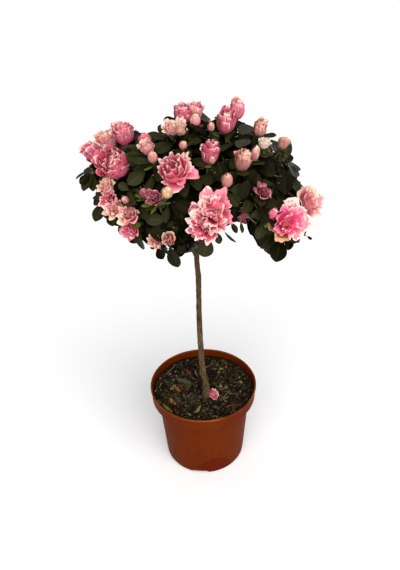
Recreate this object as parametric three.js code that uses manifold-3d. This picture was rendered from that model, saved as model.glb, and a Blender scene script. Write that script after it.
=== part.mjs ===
// An azalea grown as a little standard tree, standing in its plastic pot.
// Millimetres, +Z up. The origin is the centre of the pot's flat underside, and -Y is the front.
import * as THREE from "three";
import { mergeVertices } from "three/addons/utils/BufferGeometryUtils.js";
import Module from "manifold-3d";

const wasm = await Module();
wasm.setup();

const GAP = 0.3; // left between pieces that touch
const CLEAR = 1.25 * GAP; // how much a limb is grown to cut others clear of it, more for its flat sides
const SEED = 20; // one number behind every chance in the crown
const GOLDEN = Math.PI * (3 - Math.sqrt(5)); // the turn from one leaf, or even place, to the next
const UP = new THREE.Vector3(0, 0, 1);

// The pot is a thin plastic shell: a deep rim band, a shoulder under it, and notches round its foot.
const POT = {
  rimRadius: 75,
  height: 126,
  bandHeight: 18,
  bandTaper: 1,
  lip: 0.6,
  shoulderRadius: 65.7,
  baseRadius: 57.9,
  heelHeight: 4,
  heelInset: 3.5,
  wall: 1.6,
  floor: 2.2,
  sides: 36,
};
const NOTCH = { count: 4, firstBearing: -96, width: 19, height: 3, innerRadius: 49 };
const SOIL = { drop: 11, rings: 4, sides: 24, lump: 1.6, flatNearStem: 24, lumpyFrom: 40 };
const SOIL_TOP = POT.height - SOIL.drop;

// The stem, as places on its middle line: right, back and up from where it leaves the soil.
const STEM_FOOT = new THREE.Vector3(5, -14, SOIL_TOP);
const STEM_WAY = [
  [0.4, -0.4, -6],
  [-2.4, 1.5, 24],
  [-5.5, 4, 52],
  [-7, 5.5, 95],
  [-7.4, 7, 140],
  [-6.8, 8, 190],
  [-8, 9, 226],
  [-5, 11, 252],
  [-3, 12, 276],
  [-1, 12, 298],
  [1, 12, 318],
];
const STEM = { radius: 4.1, tipRadius: 2.9, flare: 3.6, flareHeight: 13, sides: 10, steps: 20 };

// Where the photograph was taken from, to turn a place seen in it into a place on the crown.
const EYE = new THREE.Vector3(0, -615.7, 689);
const LOOK_DOWN = THREE.MathUtils.degToRad(32.8);
const ROLL = THREE.MathUtils.degToRad(1.9);
const FOCAL_PX = 573;
const MIDDLE_PX = new THREE.Vector2(200, 285);
const AHEAD = new THREE.Vector3(0, Math.cos(LOOK_DOWN), -Math.sin(LOOK_DOWN));
const ABOVE = new THREE.Vector3(0, Math.sin(LOOK_DOWN), Math.cos(LOOK_DOWN));
// The crown's edge in the photograph, clockwise from the far left. No leaf reaches past it.
const EDGE_PX = [
  [75, 178], [84, 147], [106, 129], [124, 122], [140, 131], [152, 131], [160, 124], [180, 104], [200, 102],
  [212, 115], [222, 106], [236, 97], [247, 104], [254, 121], [270, 128], [290, 139], [300, 168], [314, 192],
  [325, 214], [312, 238], [292, 252], [276, 262], [264, 252], [252, 234], [240, 224], [228, 236], [214, 244],
  [206, 258], [190, 256], [174, 267], [160, 259], [142, 250], [124, 236], [96, 222], [86, 192],
];

// The crown is a low dome, tipped a little to the right. Its surface here is where the twigs end.
const CROWN = {
  middle: new THREE.Vector3(5, 0, 428),
  right: 118,
  back: 112,
  up: 72,
  down: 72,
  tipped: THREE.MathUtils.degToRad(9),
  lowest: -0.74, // the cosine of the polar angle where the dome ends and the open underside begins
};
const TIP_SPACING = { shown: 16, fromBlooms: 23, fromWhorls: 35 };
const SPREAD_POINTS = 500;
const WHORLS_INSIDE = { shown: 6, least: 5, most: 17 }; // how far whorls' tips stay inside the dome

// The blooms that show from the front: where each is seen, its kind, and its width and height.
const SHOWN_BLOOMS = [
  { px: [91, 152], kind: "half", width: 25, height: 27 },
  { px: [106, 139], kind: "half", width: 21, height: 22 },
  { px: [121, 133], kind: "half", width: 24, height: 28 },
  { px: [112, 162], kind: "open", width: 40, height: 32 },
  { px: [143, 138], kind: "bud", width: 15, height: 17 },
  { px: [147, 148], kind: "half", width: 16, height: 15 },
  { px: [152, 157], kind: "bud", width: 11, height: 13 },
  { px: [170, 128], kind: "half", width: 14, height: 17 },
  { px: [181, 126], kind: "half", width: 13, height: 16 },
  { px: [181, 111], kind: "half", width: 17, height: 23 },
  { px: [195, 108], kind: "half", width: 17, height: 21 },
  { px: [195, 120], kind: "bud", width: 12, height: 14 },
  { px: [172, 165], kind: "open", width: 36, height: 28 },
  { px: [106, 186], kind: "half", width: 18, height: 18 },
  { px: [108, 198], kind: "open", width: 18, height: 15 },
  { px: [115, 208], kind: "half", width: 20, height: 18 },
  { px: [129, 216], kind: "half", width: 17, height: 17 },
  { px: [131, 231], kind: "half", width: 17, height: 15 },
  { px: [144, 193], kind: "bud", width: 10, height: 13 },
  { px: [155, 198], kind: "half", width: 16, height: 14 },
  { px: [167, 192], kind: "bud", width: 12, height: 14 },
  { px: [156, 241], kind: "half", width: 16, height: 15 },
  { px: [169, 238], kind: "bud", width: 12, height: 19 },
  { px: [237, 107], kind: "half", width: 18, height: 25 },
  { px: [226, 121], kind: "half", width: 22, height: 28 },
  { px: [259, 125], kind: "half", width: 15, height: 17 },
  { px: [263, 143], kind: "half", width: 13, height: 12 },
  { px: [281, 143], kind: "bud", width: 13, height: 16 },
  { px: [210, 151], kind: "half", width: 20, height: 27 },
  { px: [243, 159], kind: "half", width: 18, height: 26 },
  { px: [255, 154], kind: "bud", width: 10, height: 18 },
  { px: [227, 180], kind: "bud", width: 12, height: 17 },
  { px: [264, 192], kind: "half", width: 16, height: 16 },
  { px: [218, 205], kind: "open", width: 41, height: 32 },
  { px: [204, 223], kind: "open", width: 38, height: 28 },
  { px: [295, 218], kind: "open", width: 42, height: 32 },
  { px: [311, 202], kind: "open", width: 32, height: 28 },
];
const BLOOM_STANDS_OUT = 10; // how far a bloom's middle stands off the dome
const SMALLEST_BLOOM = 12; // narrower buds are too small for a solid of their own
// How what shows from the front faces, as shares of the dome's outward direction, of up and of the eye's.
const FACING = {
  bud: { outward: 0.8, up: 0.75, eye: 0 },
  half: { outward: 0.8, up: 0.6, eye: 0.1 },
  open: { outward: 0.6, up: 0.1, eye: 0.75 },
  whorl: { outward: 0.8, up: 0, eye: 0.6 },
};
// A bloom's outline from its foot to its middle, as shares of its half width and of its height.
const BLOOM_OUTLINE = {
  bud: [[0, 0], [0.72, 0.2], [0.95, 0.6], [0, 1]],
  half: [[0, 0], [0.7, 0.16], [1, 0.62], [0.62, 1], [0, 0.88]],
  open: [[0, 0], [0.52, 0.24], [1, 0.6], [0.66, 1], [0, 0.84]],
};
const BLOOM_LOBES = { bud: 6, half: 6, open: 8 };
const BLOOM_RUFFLE = { bud: 0, half: 0.05, open: 0.11 }; // how far the lobes' edges wander, as a share
const BLOOMS_TOGETHER = 22;
const BLOOM_SIZES = [1, 0.88, 0.76]; // tried in turn where a bloom would touch a neighbour
const BACK_BLOOM_SHARE = 0.45; // of the tips that the front view doesn't show

// Whorls of leaves that make the crown's outline from the front.
const SHOWN_WHORLS = [
  [93, 171],
  [102, 204],
  [115, 216],
  [137, 230],
  [163, 241],
  [177, 246],
  [205, 236],
  [243, 214],
  [256, 223],
  [267, 235],
  [279, 240],
  [300, 190],
  [291, 183],
  [289, 164],
  [281, 176],
  [268, 172],
  [272, 215],
  [282, 157],
  [270, 136],
  [245, 190],
  [92, 180],
  [110, 176],
  [140, 176],
  [246, 128],
  [205, 122],
  [160, 133],
];

// Leaves stand in a whorl at the twig's end, the upper ones steeper, each a little further down the twig.
const LEAF = {
  length: 38,
  width: 22,
  thick: 1.8,
  thickestAt: 0.22,
  sunk: 0.4,
  steepest: THREE.MathUtils.degToRad(42),
  flattest: THREE.MathUtils.degToRad(88),
  flattestUnderBloom: THREE.MathUtils.degToRad(68),
  droop: 0.18,
  droopBelow: 0.55,
  firstDown: 1.4,
  step: 1.9,
  freeFrom: 0.24, // of the length: from there on a leaf is clear of every other
  fold: -0.05,
  shorterEachTry: 0.04,
};
// A leaf's outline from one side of its root round to the other, as shares of its length and its width.
const LEAF_OUTLINE = [
  [0.54, -0.5],
  [0.97, -0.19],
  [0.97, 0.19],
  [0.54, 0.5],
];
const LEAVES_ON_TIP = 6;
const LEAVES_UNDER_BLOOM = 3;
const LEAF_TRIES = 9;
const SLIVERS = [0.2, 0.16, 0.12, 0.24, 0.08]; // edges shorter than the first that closes well are dropped

// Each twig leaves the nearest twig already grown, at a place from first to last of the way along it.
const TWIG = {
  stemRadius: 3,
  stemTipRadius: 2,
  sideShare: 0.62,
  thickestSide: 1.6,
  thinnest: 1.05,
  sides: 3,
  steps: 2,
};
const TWIG_STARTS = { first: 0.2, last: 0.8, apart: 4 };
const SHARPEST_TURN = -0.1; // the least cosine between a twig and the one it leaves
const BOUGH = { baseRadius: 3.1, tipRadius: 2.5, sides: 6, steps: 4 };

// The masses of foliage, each named for where it stands: its bearing and the cosine of its polar angle on
// the dome, and how far up the stem above the fork its bough leaves.
const MASSES = [
  { name: "top", bearing: 60, cosine: 1 },
  { name: "upper_front", bearing: -82, cosine: 0.55, leaves: 24 },
  { name: "upper_right", bearing: 5, cosine: 0.52, leaves: 34 },
  { name: "upper_back", bearing: 92, cosine: 0.52, leaves: 28 },
  { name: "upper_left", bearing: 178, cosine: 0.52, leaves: 38 },
  { name: "lower_front", bearing: -100, cosine: -0.3, leaves: 13 },
  { name: "lower_right", bearing: -25, cosine: -0.28, leaves: 9 },
  { name: "lower_back_right", bearing: 47, cosine: -0.3, leaves: 16 },
  { name: "lower_back_left", bearing: 118, cosine: -0.3, leaves: 7 },
  { name: "lower_left", bearing: 190, cosine: -0.28, leaves: 0 },
];
const FORK_HEIGHT = 226; // of the lowest bough above the soil
// The crown is dense: each mass has a core, its share of a smaller dome that is hollow round the boughs.
const CORE = { share: 0.68, rough: 0.06, detail: 2, apart: 1.2 };
const HOLLOW = { middle: new THREE.Vector3(1, -3, 368), radius: 57, height: 63, detail: 2 };
const BOUGH_ENTERS = 2.5; // how far a bough's end goes into its mass

// A spent bloom that lies on the soil.
const FALLEN = { px: [213, 394], bloom: { kind: "half", width: 15, height: 11 } };

const PAINT = {
  pot: { color: 0x8a3a17, roughness: 0.45, metalness: 0 },
  soil: { color: 0x2c1f14, roughness: 1, metalness: 0 },
  bark: { color: 0x6b4a35, roughness: 0.85, metalness: 0 },
  foliage: { color: 0x26331d, roughness: 0.5, metalness: 0 },
  bloom: { color: 0xe8799a, roughness: 0.6, metalness: 0 },
};

// A steady number from 0 to 1 for each set of counts.
function chance(...counts) {
  const modulus = 2147483647;
  let state = SEED;
  for (const count of [...counts, 3, 5]) state = (state * 48271 + (count + 1) * 69621) % modulus;
  return state / modulus;
}

function between(low, high, share) {
  return low + (high - low) * share;
}

// A closed geometry as a solid that can be joined and cut.
function solidOf(geometry) {
  const bare = new THREE.BufferGeometry().setAttribute("position", geometry.getAttribute("position"));
  if (geometry.index) bare.setIndex(geometry.index);
  const merged = mergeVertices(bare, 1e-3);
  return new wasm.Manifold(
    new wasm.Mesh({
      numProp: 3,
      vertProperties: merged.attributes.position.array,
      triVerts: new Uint32Array(merged.index.array),
    }),
  );
}

function geometryOf(solid) {
  const mesh = solid.getMesh();
  return new THREE.BufferGeometry()
    .setAttribute("position", new THREE.BufferAttribute(mesh.vertProperties, 3))
    .setIndex(new THREE.BufferAttribute(mesh.triVerts, 1));
}

// The biggest single body of a solid, so that no loose scrap stays.
function biggestBody(solid) {
  return solid.decompose().sort((a, b) => b.volume() - a.volume())[0];
}

// True where each edge of a solid joins two faces, also when its corners are rounded off.
function isWellClosed(solid) {
  const { vertProperties, triVerts } = solid.getMesh();
  const corners = Array.from(triVerts, (v) => {
    return Array.from(vertProperties.slice(3 * v, 3 * v + 3), (place) => place.toFixed(4)).join();
  });
  const uses = new Map();
  for (let i = 0; i < corners.length; i += 3) {
    const face = corners.slice(i, i + 3);
    if (new Set(face).size < 3) continue;
    face.forEach((corner, k) => {
      const edge = [corner, face[(k + 1) % 3]].sort().join(" ");
      uses.set(edge, (uses.get(edge) ?? 0) + 1);
    });
  }
  return [...uses.values()].every((count) => count === 2);
}

// A mass joined into one body, with the slivers that the joins leave closed up.
function joined(pieces) {
  const whole = wasm.Manifold.union(pieces);
  for (const sliver of SLIVERS) {
    const body = biggestBody(solidOf(geometryOf(biggestBody(whole.simplify(sliver)))));
    if (isWellClosed(body)) return body;
  }
  throw new Error("a mass doesn't close");
}

// True where a solid stays clear of all its neighbours, and isn't swallowed by one of them.
function isClear(solid, neighbours) {
  const margin = 1.5 * GAP;
  return neighbours.every((other) => solid.minGap(other, 2 * margin) >= margin && !isInside(solid, other));
}

// True where one solid's box lies in another's and the two overlap.
function isInside(solid, other) {
  const [inner, outer] = [solid.boundingBox(), other.boundingBox()];
  const isBoxed = inner.min.every((low, axis) => low > outer.min[axis] && inner.max[axis] < outer.max[axis]);
  return isBoxed && !solid.intersect(other).isEmpty();
}

// A round limb on a curve, made by bending a capped cylinder. swell gives its radius at each share of the
// way, and longer is how far it runs on past the curve's end.
function limb(curve, swell, sides, steps, longer = 0) {
  const shape = new THREE.CylinderGeometry(1, 1, 1, sides, steps);
  const frames = curve.computeFrenetFrames(steps, false);
  const places = shape.getAttribute("position");
  for (let i = 0; i < places.count; i++) {
    const step = Math.round((places.getY(i) + 0.5) * steps);
    const radius = swell(step / steps);
    const place = curve
      .getPointAt(step / steps)
      .addScaledVector(frames.tangents[step], step === steps ? longer : 0)
      .addScaledVector(frames.binormals[step], places.getX(i) * radius)
      .addScaledVector(frames.normals[step], places.getZ(i) * radius);
    places.setXYZ(i, place.x, place.y, place.z);
  }
  return solidOf(shape);
}

// Two directions square to each other and to the one given.
function squareTo(direction) {
  const across = new THREE.Vector3().crossVectors(direction, UP);
  if (across.length() < 0.05) across.set(1, 0, 0).addScaledVector(direction, -direction.x);
  across.normalize();
  return [across, new THREE.Vector3().crossVectors(direction, across)];
}

// The pot and what is in it

function potShell() {
  const { rimRadius, height, bandHeight, bandTaper, lip, wall, floor } = POT;
  const { shoulderRadius, baseRadius, heelHeight, heelInset } = POT;
  const bandFoot = height - bandHeight;
  const outline = [
    [0, 0],
    [baseRadius - heelInset, 0],
    [baseRadius, heelHeight],
    [shoulderRadius, bandFoot - 1],
    [rimRadius - bandTaper, bandFoot],
    [rimRadius, height - 2],
    [rimRadius + lip, height - 0.8],
    [rimRadius - 0.4, height],
    [rimRadius - wall, height - 0.8],
    [rimRadius - bandTaper - wall, bandFoot + wall],
    [shoulderRadius - wall, bandFoot - 1],
    [baseRadius - wall, heelHeight + 0.5],
    [baseRadius - heelInset - wall, floor],
    [0, floor],
  ].map(([radius, z]) => new THREE.Vector2(radius, z));
  const lathe = new THREE.LatheGeometry(outline, POT.sides).rotateX(Math.PI / 2);
  let shell = solidOf(lathe);
  for (let i = 0; i < NOTCH.count; i++) {
    const depth = POT.baseRadius - NOTCH.innerRadius + 4;
    const cutter = new THREE.BoxGeometry(depth, NOTCH.width, 2 * NOTCH.height)
      .translate(NOTCH.innerRadius + depth / 2, 0, 0)
      .rotateZ(THREE.MathUtils.degToRad(NOTCH.firstBearing + (360 / NOTCH.count) * i));
    shell = shell.subtract(solidOf(cutter));
  }
  return shell;
}

function soilHeight(x, y) {
  const fromStem = Math.hypot(x - STEM_FOOT.x, y - STEM_FOOT.y);
  const share = THREE.MathUtils.smoothstep(fromStem, SOIL.flatNearStem, SOIL.lumpyFrom);
  const lumps = Math.sin(x * 0.21 + 1.3) * Math.cos(y * 0.17 - 0.4) + 0.6 * Math.sin(x * 0.09 - y * 0.26);
  return SOIL_TOP + share * SOIL.lump * lumps;
}

function soilBody() {
  const { rimRadius, height, bandHeight, bandTaper, wall, floor } = POT;
  const bandFoot = height - bandHeight;
  const side = wall + 2 * GAP;
  const edge = rimRadius - bandTaper - side;
  const outline = [
    [0, floor + GAP],
    [POT.baseRadius - POT.heelInset - side, floor + GAP],
    [POT.baseRadius - side, POT.heelHeight + 0.8],
    [POT.shoulderRadius - side, bandFoot - 1],
    [POT.shoulderRadius - side, bandFoot + wall + GAP],
    [edge, bandFoot + wall + GAP],
    [edge, SOIL_TOP],
  ];
  for (let i = SOIL.rings - 1; i >= 0; i--) outline.push([(edge * i) / SOIL.rings, SOIL_TOP]);
  const lathe = new THREE.LatheGeometry(
    outline.map(([radius, z]) => new THREE.Vector2(radius, z)),
    SOIL.sides,
  ).rotateX(Math.PI / 2);
  const places = lathe.getAttribute("position");
  for (let i = 0; i < places.count; i++) {
    const inside = Math.hypot(places.getX(i), places.getY(i)) < edge - 1;
    if (inside && places.getZ(i) > SOIL_TOP - 0.01) {
      places.setZ(i, soilHeight(places.getX(i), places.getY(i)));
    }
  }
  return solidOf(lathe);
}

// Lowers a solid in small steps until it all but touches another.
function setDown(solid, onto) {
  let lowered = solid;
  for (let i = 0; i < 12; i++) {
    const gap = lowered.minGap(onto, 40);
    lowered = lowered.translate([0, 0, GAP - gap]);
  }
  return lowered;
}

function fallenBloom(soil) {
  const line = sightLine(FALLEN.px);
  const at = EYE.clone().addScaledVector(line, (SOIL_TOP + 15 - EYE.z) / line.z);
  const out = new THREE.Vector3(0.45, -0.35, 0.8).normalize();
  return setDown(bloomBody({ at, out, bloom: FALLEN.bloom }, 1), soil);
}

// The stem and the boughs

const stemCurve = new THREE.CatmullRomCurve3(
  STEM_WAY.map(([right, back, up]) => new THREE.Vector3(right, back, up).add(STEM_FOOT)),
);

function stemRadiusAt(share) {
  const z = stemCurve.getPointAt(share).z - SOIL_TOP;
  const flare = STEM.flare * Math.exp(-Math.max(z, 0) / STEM.flareHeight);
  return between(STEM.radius, STEM.tipRadius, share) + flare;
}

function stemBody(grown = 0) {
  const whole = limb(stemCurve, (share) => stemRadiusAt(share) + grown, STEM.sides, STEM.steps, grown);
  return whole.trimByPlane([0, 0, 1], SOIL_TOP + GAP);
}

// The place on the stem's middle line at a height above the soil.
function onStem(height) {
  let low = 0;
  let high = 1;
  for (let i = 0; i < 30; i++) {
    const middle = (low + high) / 2;
    if (stemCurve.getPointAt(middle).z < SOIL_TOP + height) low = middle;
    else high = middle;
  }
  return stemCurve.getPointAt(low);
}

// The dome

const crownTurn = new THREE.Quaternion().setFromAxisAngle(new THREE.Vector3(0, 1, 0), CROWN.tipped);
const crownTurnBack = crownTurn.clone().invert();

function domeAxes(out, isUpper) {
  return new THREE.Vector3(CROWN.right + out, CROWN.back + out, (isUpper ? CROWN.up : CROWN.down) + out);
}

// The place on the dome, or out of it by a distance, at a bearing and the cosine of a polar angle.
function onDome(bearing, cosine, out = 0) {
  const sine = Math.sqrt(1 - cosine * cosine);
  return new THREE.Vector3(sine * Math.cos(bearing), sine * Math.sin(bearing), cosine)
    .multiply(domeAxes(out, cosine > 0))
    .applyQuaternion(crownTurn)
    .add(CROWN.middle);
}

// How far out a place lies: under 1 inside the dome, 1 on it.
function domeLevel(place, out) {
  const local = place.clone().sub(CROWN.middle).applyQuaternion(crownTurnBack);
  return local.divide(domeAxes(out, local.z > 0)).length();
}

function outwardAt(place) {
  const local = place.clone().sub(CROWN.middle).applyQuaternion(crownTurnBack);
  const axes = domeAxes(0, local.z > 0);
  return local.divide(axes).divide(axes).applyQuaternion(crownTurn).normalize();
}

// True in the part of the crown that the cores fill.
function isInCore(place) {
  const halfSizes = new THREE.Vector3(HOLLOW.radius, HOLLOW.radius, HOLLOW.height);
  const isInHollow = place.clone().sub(HOLLOW.middle).divide(halfSizes).length() < 1;
  return domeLevel(place, 0) < CORE.share && !isInHollow;
}

// All the cores as one body, before they are parted.
function coreDome() {
  const dome = new THREE.IcosahedronGeometry(1, CORE.detail);
  const places = dome.getAttribute("position");
  for (let i = 0; i < places.count; i++) {
    const unit = new THREE.Vector3().fromBufferAttribute(places, i);
    const rough = 1 + CORE.rough * Math.sin(7 * unit.x + 2) * Math.cos(6 * unit.y - 5 * unit.z);
    const place = unit
      .clone()
      .multiply(domeAxes(0, unit.z > 0))
      .multiplyScalar(CORE.share * rough)
      .applyQuaternion(crownTurn)
      .add(CROWN.middle);
    places.setXYZ(i, place.x, place.y, place.z);
  }
  const hollow = new THREE.IcosahedronGeometry(1, HOLLOW.detail)
    .scale(HOLLOW.radius, HOLLOW.radius, HOLLOW.height)
    .translate(...HOLLOW.middle);
  return solidOf(dome).subtract(solidOf(hollow));
}

// The direction from the eye to a place in the photograph.
function sightLine([x, y]) {
  const level = new THREE.Vector2(x, y).rotateAround(MIDDLE_PX, ROLL).sub(MIDDLE_PX).divideScalar(FOCAL_PX);
  return AHEAD.clone()
    .add(new THREE.Vector3(level.x, 0, 0))
    .addScaledVector(ABOVE, -level.y)
    .normalize();
}

// Where a place shows in the photograph.
function seenAt(place) {
  const apart = place.clone().sub(EYE);
  const level = new THREE.Vector2(apart.x, -apart.dot(ABOVE)).multiplyScalar(FOCAL_PX / apart.dot(AHEAD));
  return level.add(MIDDLE_PX).rotateAround(MIDDLE_PX, -ROLL);
}

// True where a place shows inside the crown's edge: a line to its right crosses the edge an odd number of
// times.
function isInsideEdge(place) {
  const { x, y } = seenAt(place);
  let isInside = false;
  EDGE_PX.forEach(([startX, startY], i) => {
    const [endX, endY] = EDGE_PX[(i + 1) % EDGE_PX.length];
    if (startY > y === endY > y) return;
    if (x < startX + ((y - startY) * (endX - startX)) / (endY - startY)) isInside = !isInside;
  });
  return isInside;
}

// Where the line from the eye first meets the dome, or passes nearest to it.
function seenOnDome(px, out) {
  const line = sightLine(px);
  const place = EYE.clone().addScaledVector(line, 400);
  const nearest = place.clone();
  let least = Infinity;
  for (let i = 0; i < 500; i++) {
    const level = domeLevel(place, out);
    if (level < least) {
      least = level;
      nearest.copy(place);
    }
    if (level <= 1) break;
    place.add(line);
  }
  return nearest;
}

// The tips: every place where a twig ends, in a whorl of leaves or under a bloom

function facing(place, kind) {
  const { outward, up, eye } = FACING[kind];
  return outwardAt(place)
    .multiplyScalar(outward)
    .addScaledVector(UP, up)
    .addScaledVector(EYE.clone().sub(place).normalize(), eye)
    .normalize();
}

function bloomTip({ px, kind, width, height }) {
  const middle = seenOnDome(px, BLOOM_STANDS_OUT);
  const out = facing(middle, kind);
  return { at: middle.addScaledVector(out, -height / 2), out, bloom: { kind, width, height } };
}

function whorlTip(at, out = outwardAt(at)) {
  return { at, out, bloom: null };
}

// A bloom for a tip that the front doesn't show.
function chosenBloom(index) {
  const draw = chance(index, 71);
  if (draw > BACK_BLOOM_SHARE) return null;
  const size = chance(index, 72);
  if (draw < 0.13) return { kind: "open", width: between(34, 46, size), height: between(26, 32, size) };
  if (draw < 0.36) return { kind: "half", width: between(16, 24, size), height: between(17, 27, size) };
  return { kind: "bud", width: between(12, 16, size), height: between(14, 18, size) };
}

function isFree(at, tips, fromBlooms, fromWhorls) {
  return tips.every((other) => other.at.distanceTo(at) > (other.bloom ? fromBlooms : fromWhorls));
}

function allTips() {
  const tips = SHOWN_BLOOMS.filter((bloom) => bloom.width >= SMALLEST_BLOOM).map(bloomTip);
  for (const px of SHOWN_WHORLS) {
    const at = seenOnDome(px, -WHORLS_INSIDE.shown);
    const tip = whorlTip(at, facing(at, "whorl"));
    if (isFree(tip.at, tips, TIP_SPACING.shown, TIP_SPACING.shown)) tips.push(tip);
  }
  for (let i = 0; i < SPREAD_POINTS; i++) {
    const cosine = between(1, CROWN.lowest, (i + 0.5) / SPREAD_POINTS);
    const inside = between(WHORLS_INSIDE.least, WHORLS_INSIDE.most, chance(i, 11));
    const tip = whorlTip(onDome(i * GOLDEN, cosine, -inside));
    if (!isFree(tip.at, tips, TIP_SPACING.fromBlooms, TIP_SPACING.fromWhorls)) continue;
    if (!isInsideEdge(tip.at)) continue;
    const isHidden = tip.out.dot(EYE.clone().sub(tip.at).normalize()) < 0.12;
    if (isHidden) tip.bloom = chosenBloom(i);
    tips.push(tip);
  }
  return tips;
}

// Blooms, leaves and twigs

// The middle and the half sizes of a bloom, as a turned ball that leaves keep out of.
function bloomBall({ at, out, bloom }) {
  return { middle: at.clone().addScaledVector(out, bloom.height / 2), out, bloom };
}

function isInBloom(place, ball) {
  const apart = place.clone().sub(ball.middle);
  const along = apart.dot(ball.out);
  const across = Math.sqrt(Math.max(apart.lengthSq() - along * along, 0));
  return Math.hypot((2 * along) / ball.bloom.height, (2 * across) / ball.bloom.width) < 0.92;
}

function bloomBody({ at, out, bloom }, size) {
  const { kind } = bloom;
  const [width, height] = [bloom.width * size, bloom.height * size];
  const outline = BLOOM_OUTLINE[kind].map(([radius, up]) => new THREE.Vector2(radius, up));
  const lobes = BLOOM_LOBES[kind];
  const shape = new THREE.LatheGeometry(outline, lobes);
  const [across, back] = squareTo(out);
  const places = shape.getAttribute("position");
  for (let i = 0; i < places.count; i++) {
    const [x, y, z] = [places.getX(i), places.getY(i), places.getZ(i)];
    const wave = BLOOM_RUFFLE[kind] * Math.hypot(x, z) * Math.sin(3 * Math.atan2(z, x) + 9 * y + at.x);
    const place = at
      .clone()
      .addScaledVector(out, (y + wave) * height)
      .addScaledVector(across, (x * (1 - wave) * width) / 2)
      .addScaledVector(back, (-z * (1 - wave) * width) / 2);
    places.setXYZ(i, place.x, place.y, place.z);
  }
  return solidOf(shape);
}

// Ways for each leaf of one tip, from the one it would take with nothing there to others round about.
function whorlLeaves(tip) {
  const [across, back] = squareTo(tip.out);
  const count = tip.bloom ? LEAVES_UNDER_BLOOM : LEAVES_ON_TIP;
  const steepest = tip.bloom ? LEAF.flattestUnderBloom : LEAF.steepest;
  const below = THREE.MathUtils.clamp((CROWN.middle.z - tip.at.z) / CROWN.down, 0, 1);
  return Array.from({ length: count }, (_, k) => {
    const root = tip.at.clone().addScaledVector(tip.out, -LEAF.firstDown - k * LEAF.step);
    const size = between(0.86, 1.08, chance(tip.index, k, 31));
    return Array.from({ length: LEAF_TRIES }, (_, attempt) => {
      const bearing = k * GOLDEN + 6 * chance(tip.index, 32) + 0.45 * attempt;
      const share = (k + chance(tip.index, k, attempt, 33)) / count;
      const lean = between(steepest, LEAF.flattest, share);
      const way = new THREE.Vector3()
        .addScaledVector(across, Math.cos(bearing) * Math.sin(lean))
        .addScaledVector(back, Math.sin(bearing) * Math.sin(lean))
        .addScaledVector(tip.out, Math.cos(lean))
        .addScaledVector(UP, -LEAF.droop - LEAF.droopBelow * below)
        .normalize();
      const face = tip.out.clone().addScaledVector(UP, 0.3);
      face.addScaledVector(way, -face.dot(way)).normalize();
      const side = new THREE.Vector3().crossVectors(face, way);
      const fitted = size * (1 - LEAF.shorterEachTry * attempt);
      return { root, way, face, side, length: LEAF.length * fitted, width: LEAF.width * fitted };
    });
  });
}

// A place on a leaf: shares of its length and width, and a lift towards its face. The leaf is a little
// arched.
function onLeaf({ root, way, face, side, length, width }, [along, aside], lift = 0) {
  return root
    .clone()
    .addScaledVector(way, along * length)
    .addScaledVector(side, aside * width)
    .addScaledVector(face, lift + LEAF.fold * Math.abs(aside) * width);
}

// A leaf of eight faces: an edge of root, sides and blunt tip, a back of three faces, and a front of five
// that rise to one point. from is the share of its length where it starts.
function leafBody(leaf, from = -LEAF.sunk / leaf.length) {
  const edge = [onLeaf(leaf, [from, 0]), ...LEAF_OUTLINE.map((share) => onLeaf(leaf, share))];
  const thickest = onLeaf(leaf, [Math.max(LEAF.thickestAt, from + 0.02), 0], LEAF.thick);
  const [root, left, tipLeft, tipRight, right, top] = [...edge.keys(), edge.length];
  const faces = [
    [root, left, top],
    [left, tipLeft, top],
    [tipLeft, tipRight, top],
    [tipRight, right, top],
    [right, root, top],
    [root, right, left],
    [left, right, tipLeft],
    [tipLeft, right, tipRight],
  ];
  return solidOf(new THREE.BufferGeometry().setFromPoints([...edge, thickest]).setIndex(faces.flat()));
}

// The curve of a twig that leaves a place one way and comes to its end along another.
function twigCurve(from, away, to, arrive) {
  const reach = 0.36 * from.distanceTo(to);
  return new THREE.CubicBezierCurve3(
    from,
    from.clone().addScaledVector(away, reach),
    to.clone().addScaledVector(arrive, -reach),
    to,
  );
}

// The masses

function middleOf(tips) {
  const sum = tips.reduce((total, tip) => total.add(tip.at), new THREE.Vector3());
  return sum.divideScalar(tips.length);
}

// The mass whose middle is nearest, which is the space that a place belongs to.
function massAt(place, masses) {
  let best = 0;
  masses.forEach((mass, i) => {
    if (place.distanceTo(mass.seat) < place.distanceTo(masses[best].seat)) best = i;
  });
  return best;
}

// The curve of a bough: up and out from the stem, then over to its mass, as far as it needs to enter its
// core.
function boughCurve(start, goal, isInMass) {
  const away = goal.clone().sub(start).setZ(0).normalize().multiplyScalar(0.7).add(UP).normalize();
  const bend = start.clone().addScaledVector(away, 0.5 * start.distanceTo(goal));
  const whole = new THREE.QuadraticBezierCurve3(start, bend, goal);
  let share = 0.08;
  while (share < 0.96 && !isInMass(whole.getPoint(share))) share += 0.01;
  const middles = [0, 0.25, 0.5, 0.75, 1].map((part) => whole.getPoint(part * share));
  middles[4].addScaledVector(whole.getTangent(share), BOUGH_ENTERS);
  return new THREE.CatmullRomCurve3(middles);
}

// Starts a mass's own stem where its bough, or the plant's stem, ends.
function placeFoot(mass, curve) {
  mass.away = curve.getTangentAt(1);
  mass.foot = curve.getPointAt(1).addScaledVector(mass.away, GAP);
}

// A mass's share of the core: the places nearer to its seat than to any other's.
function coreOf(mass, masses, wholeCore) {
  let core = wholeCore;
  for (const other of masses.filter((neighbour) => neighbour !== mass)) {
    const inwards = mass.seat.clone().sub(other.seat).normalize();
    const border = mass.seat.clone().lerp(other.seat, 0.5);
    core = core.trimByPlane(inwards.toArray(), inwards.dot(border) + CORE.apart);
  }
  return biggestBody(core);
}

// The end of a tip's twig: in the whorl, or some way up inside the bloom.
function twigEnd(tip) {
  return tip.at.clone().addScaledVector(tip.out, tip.bloom ? 0.3 * tip.bloom.height : 0);
}

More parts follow.
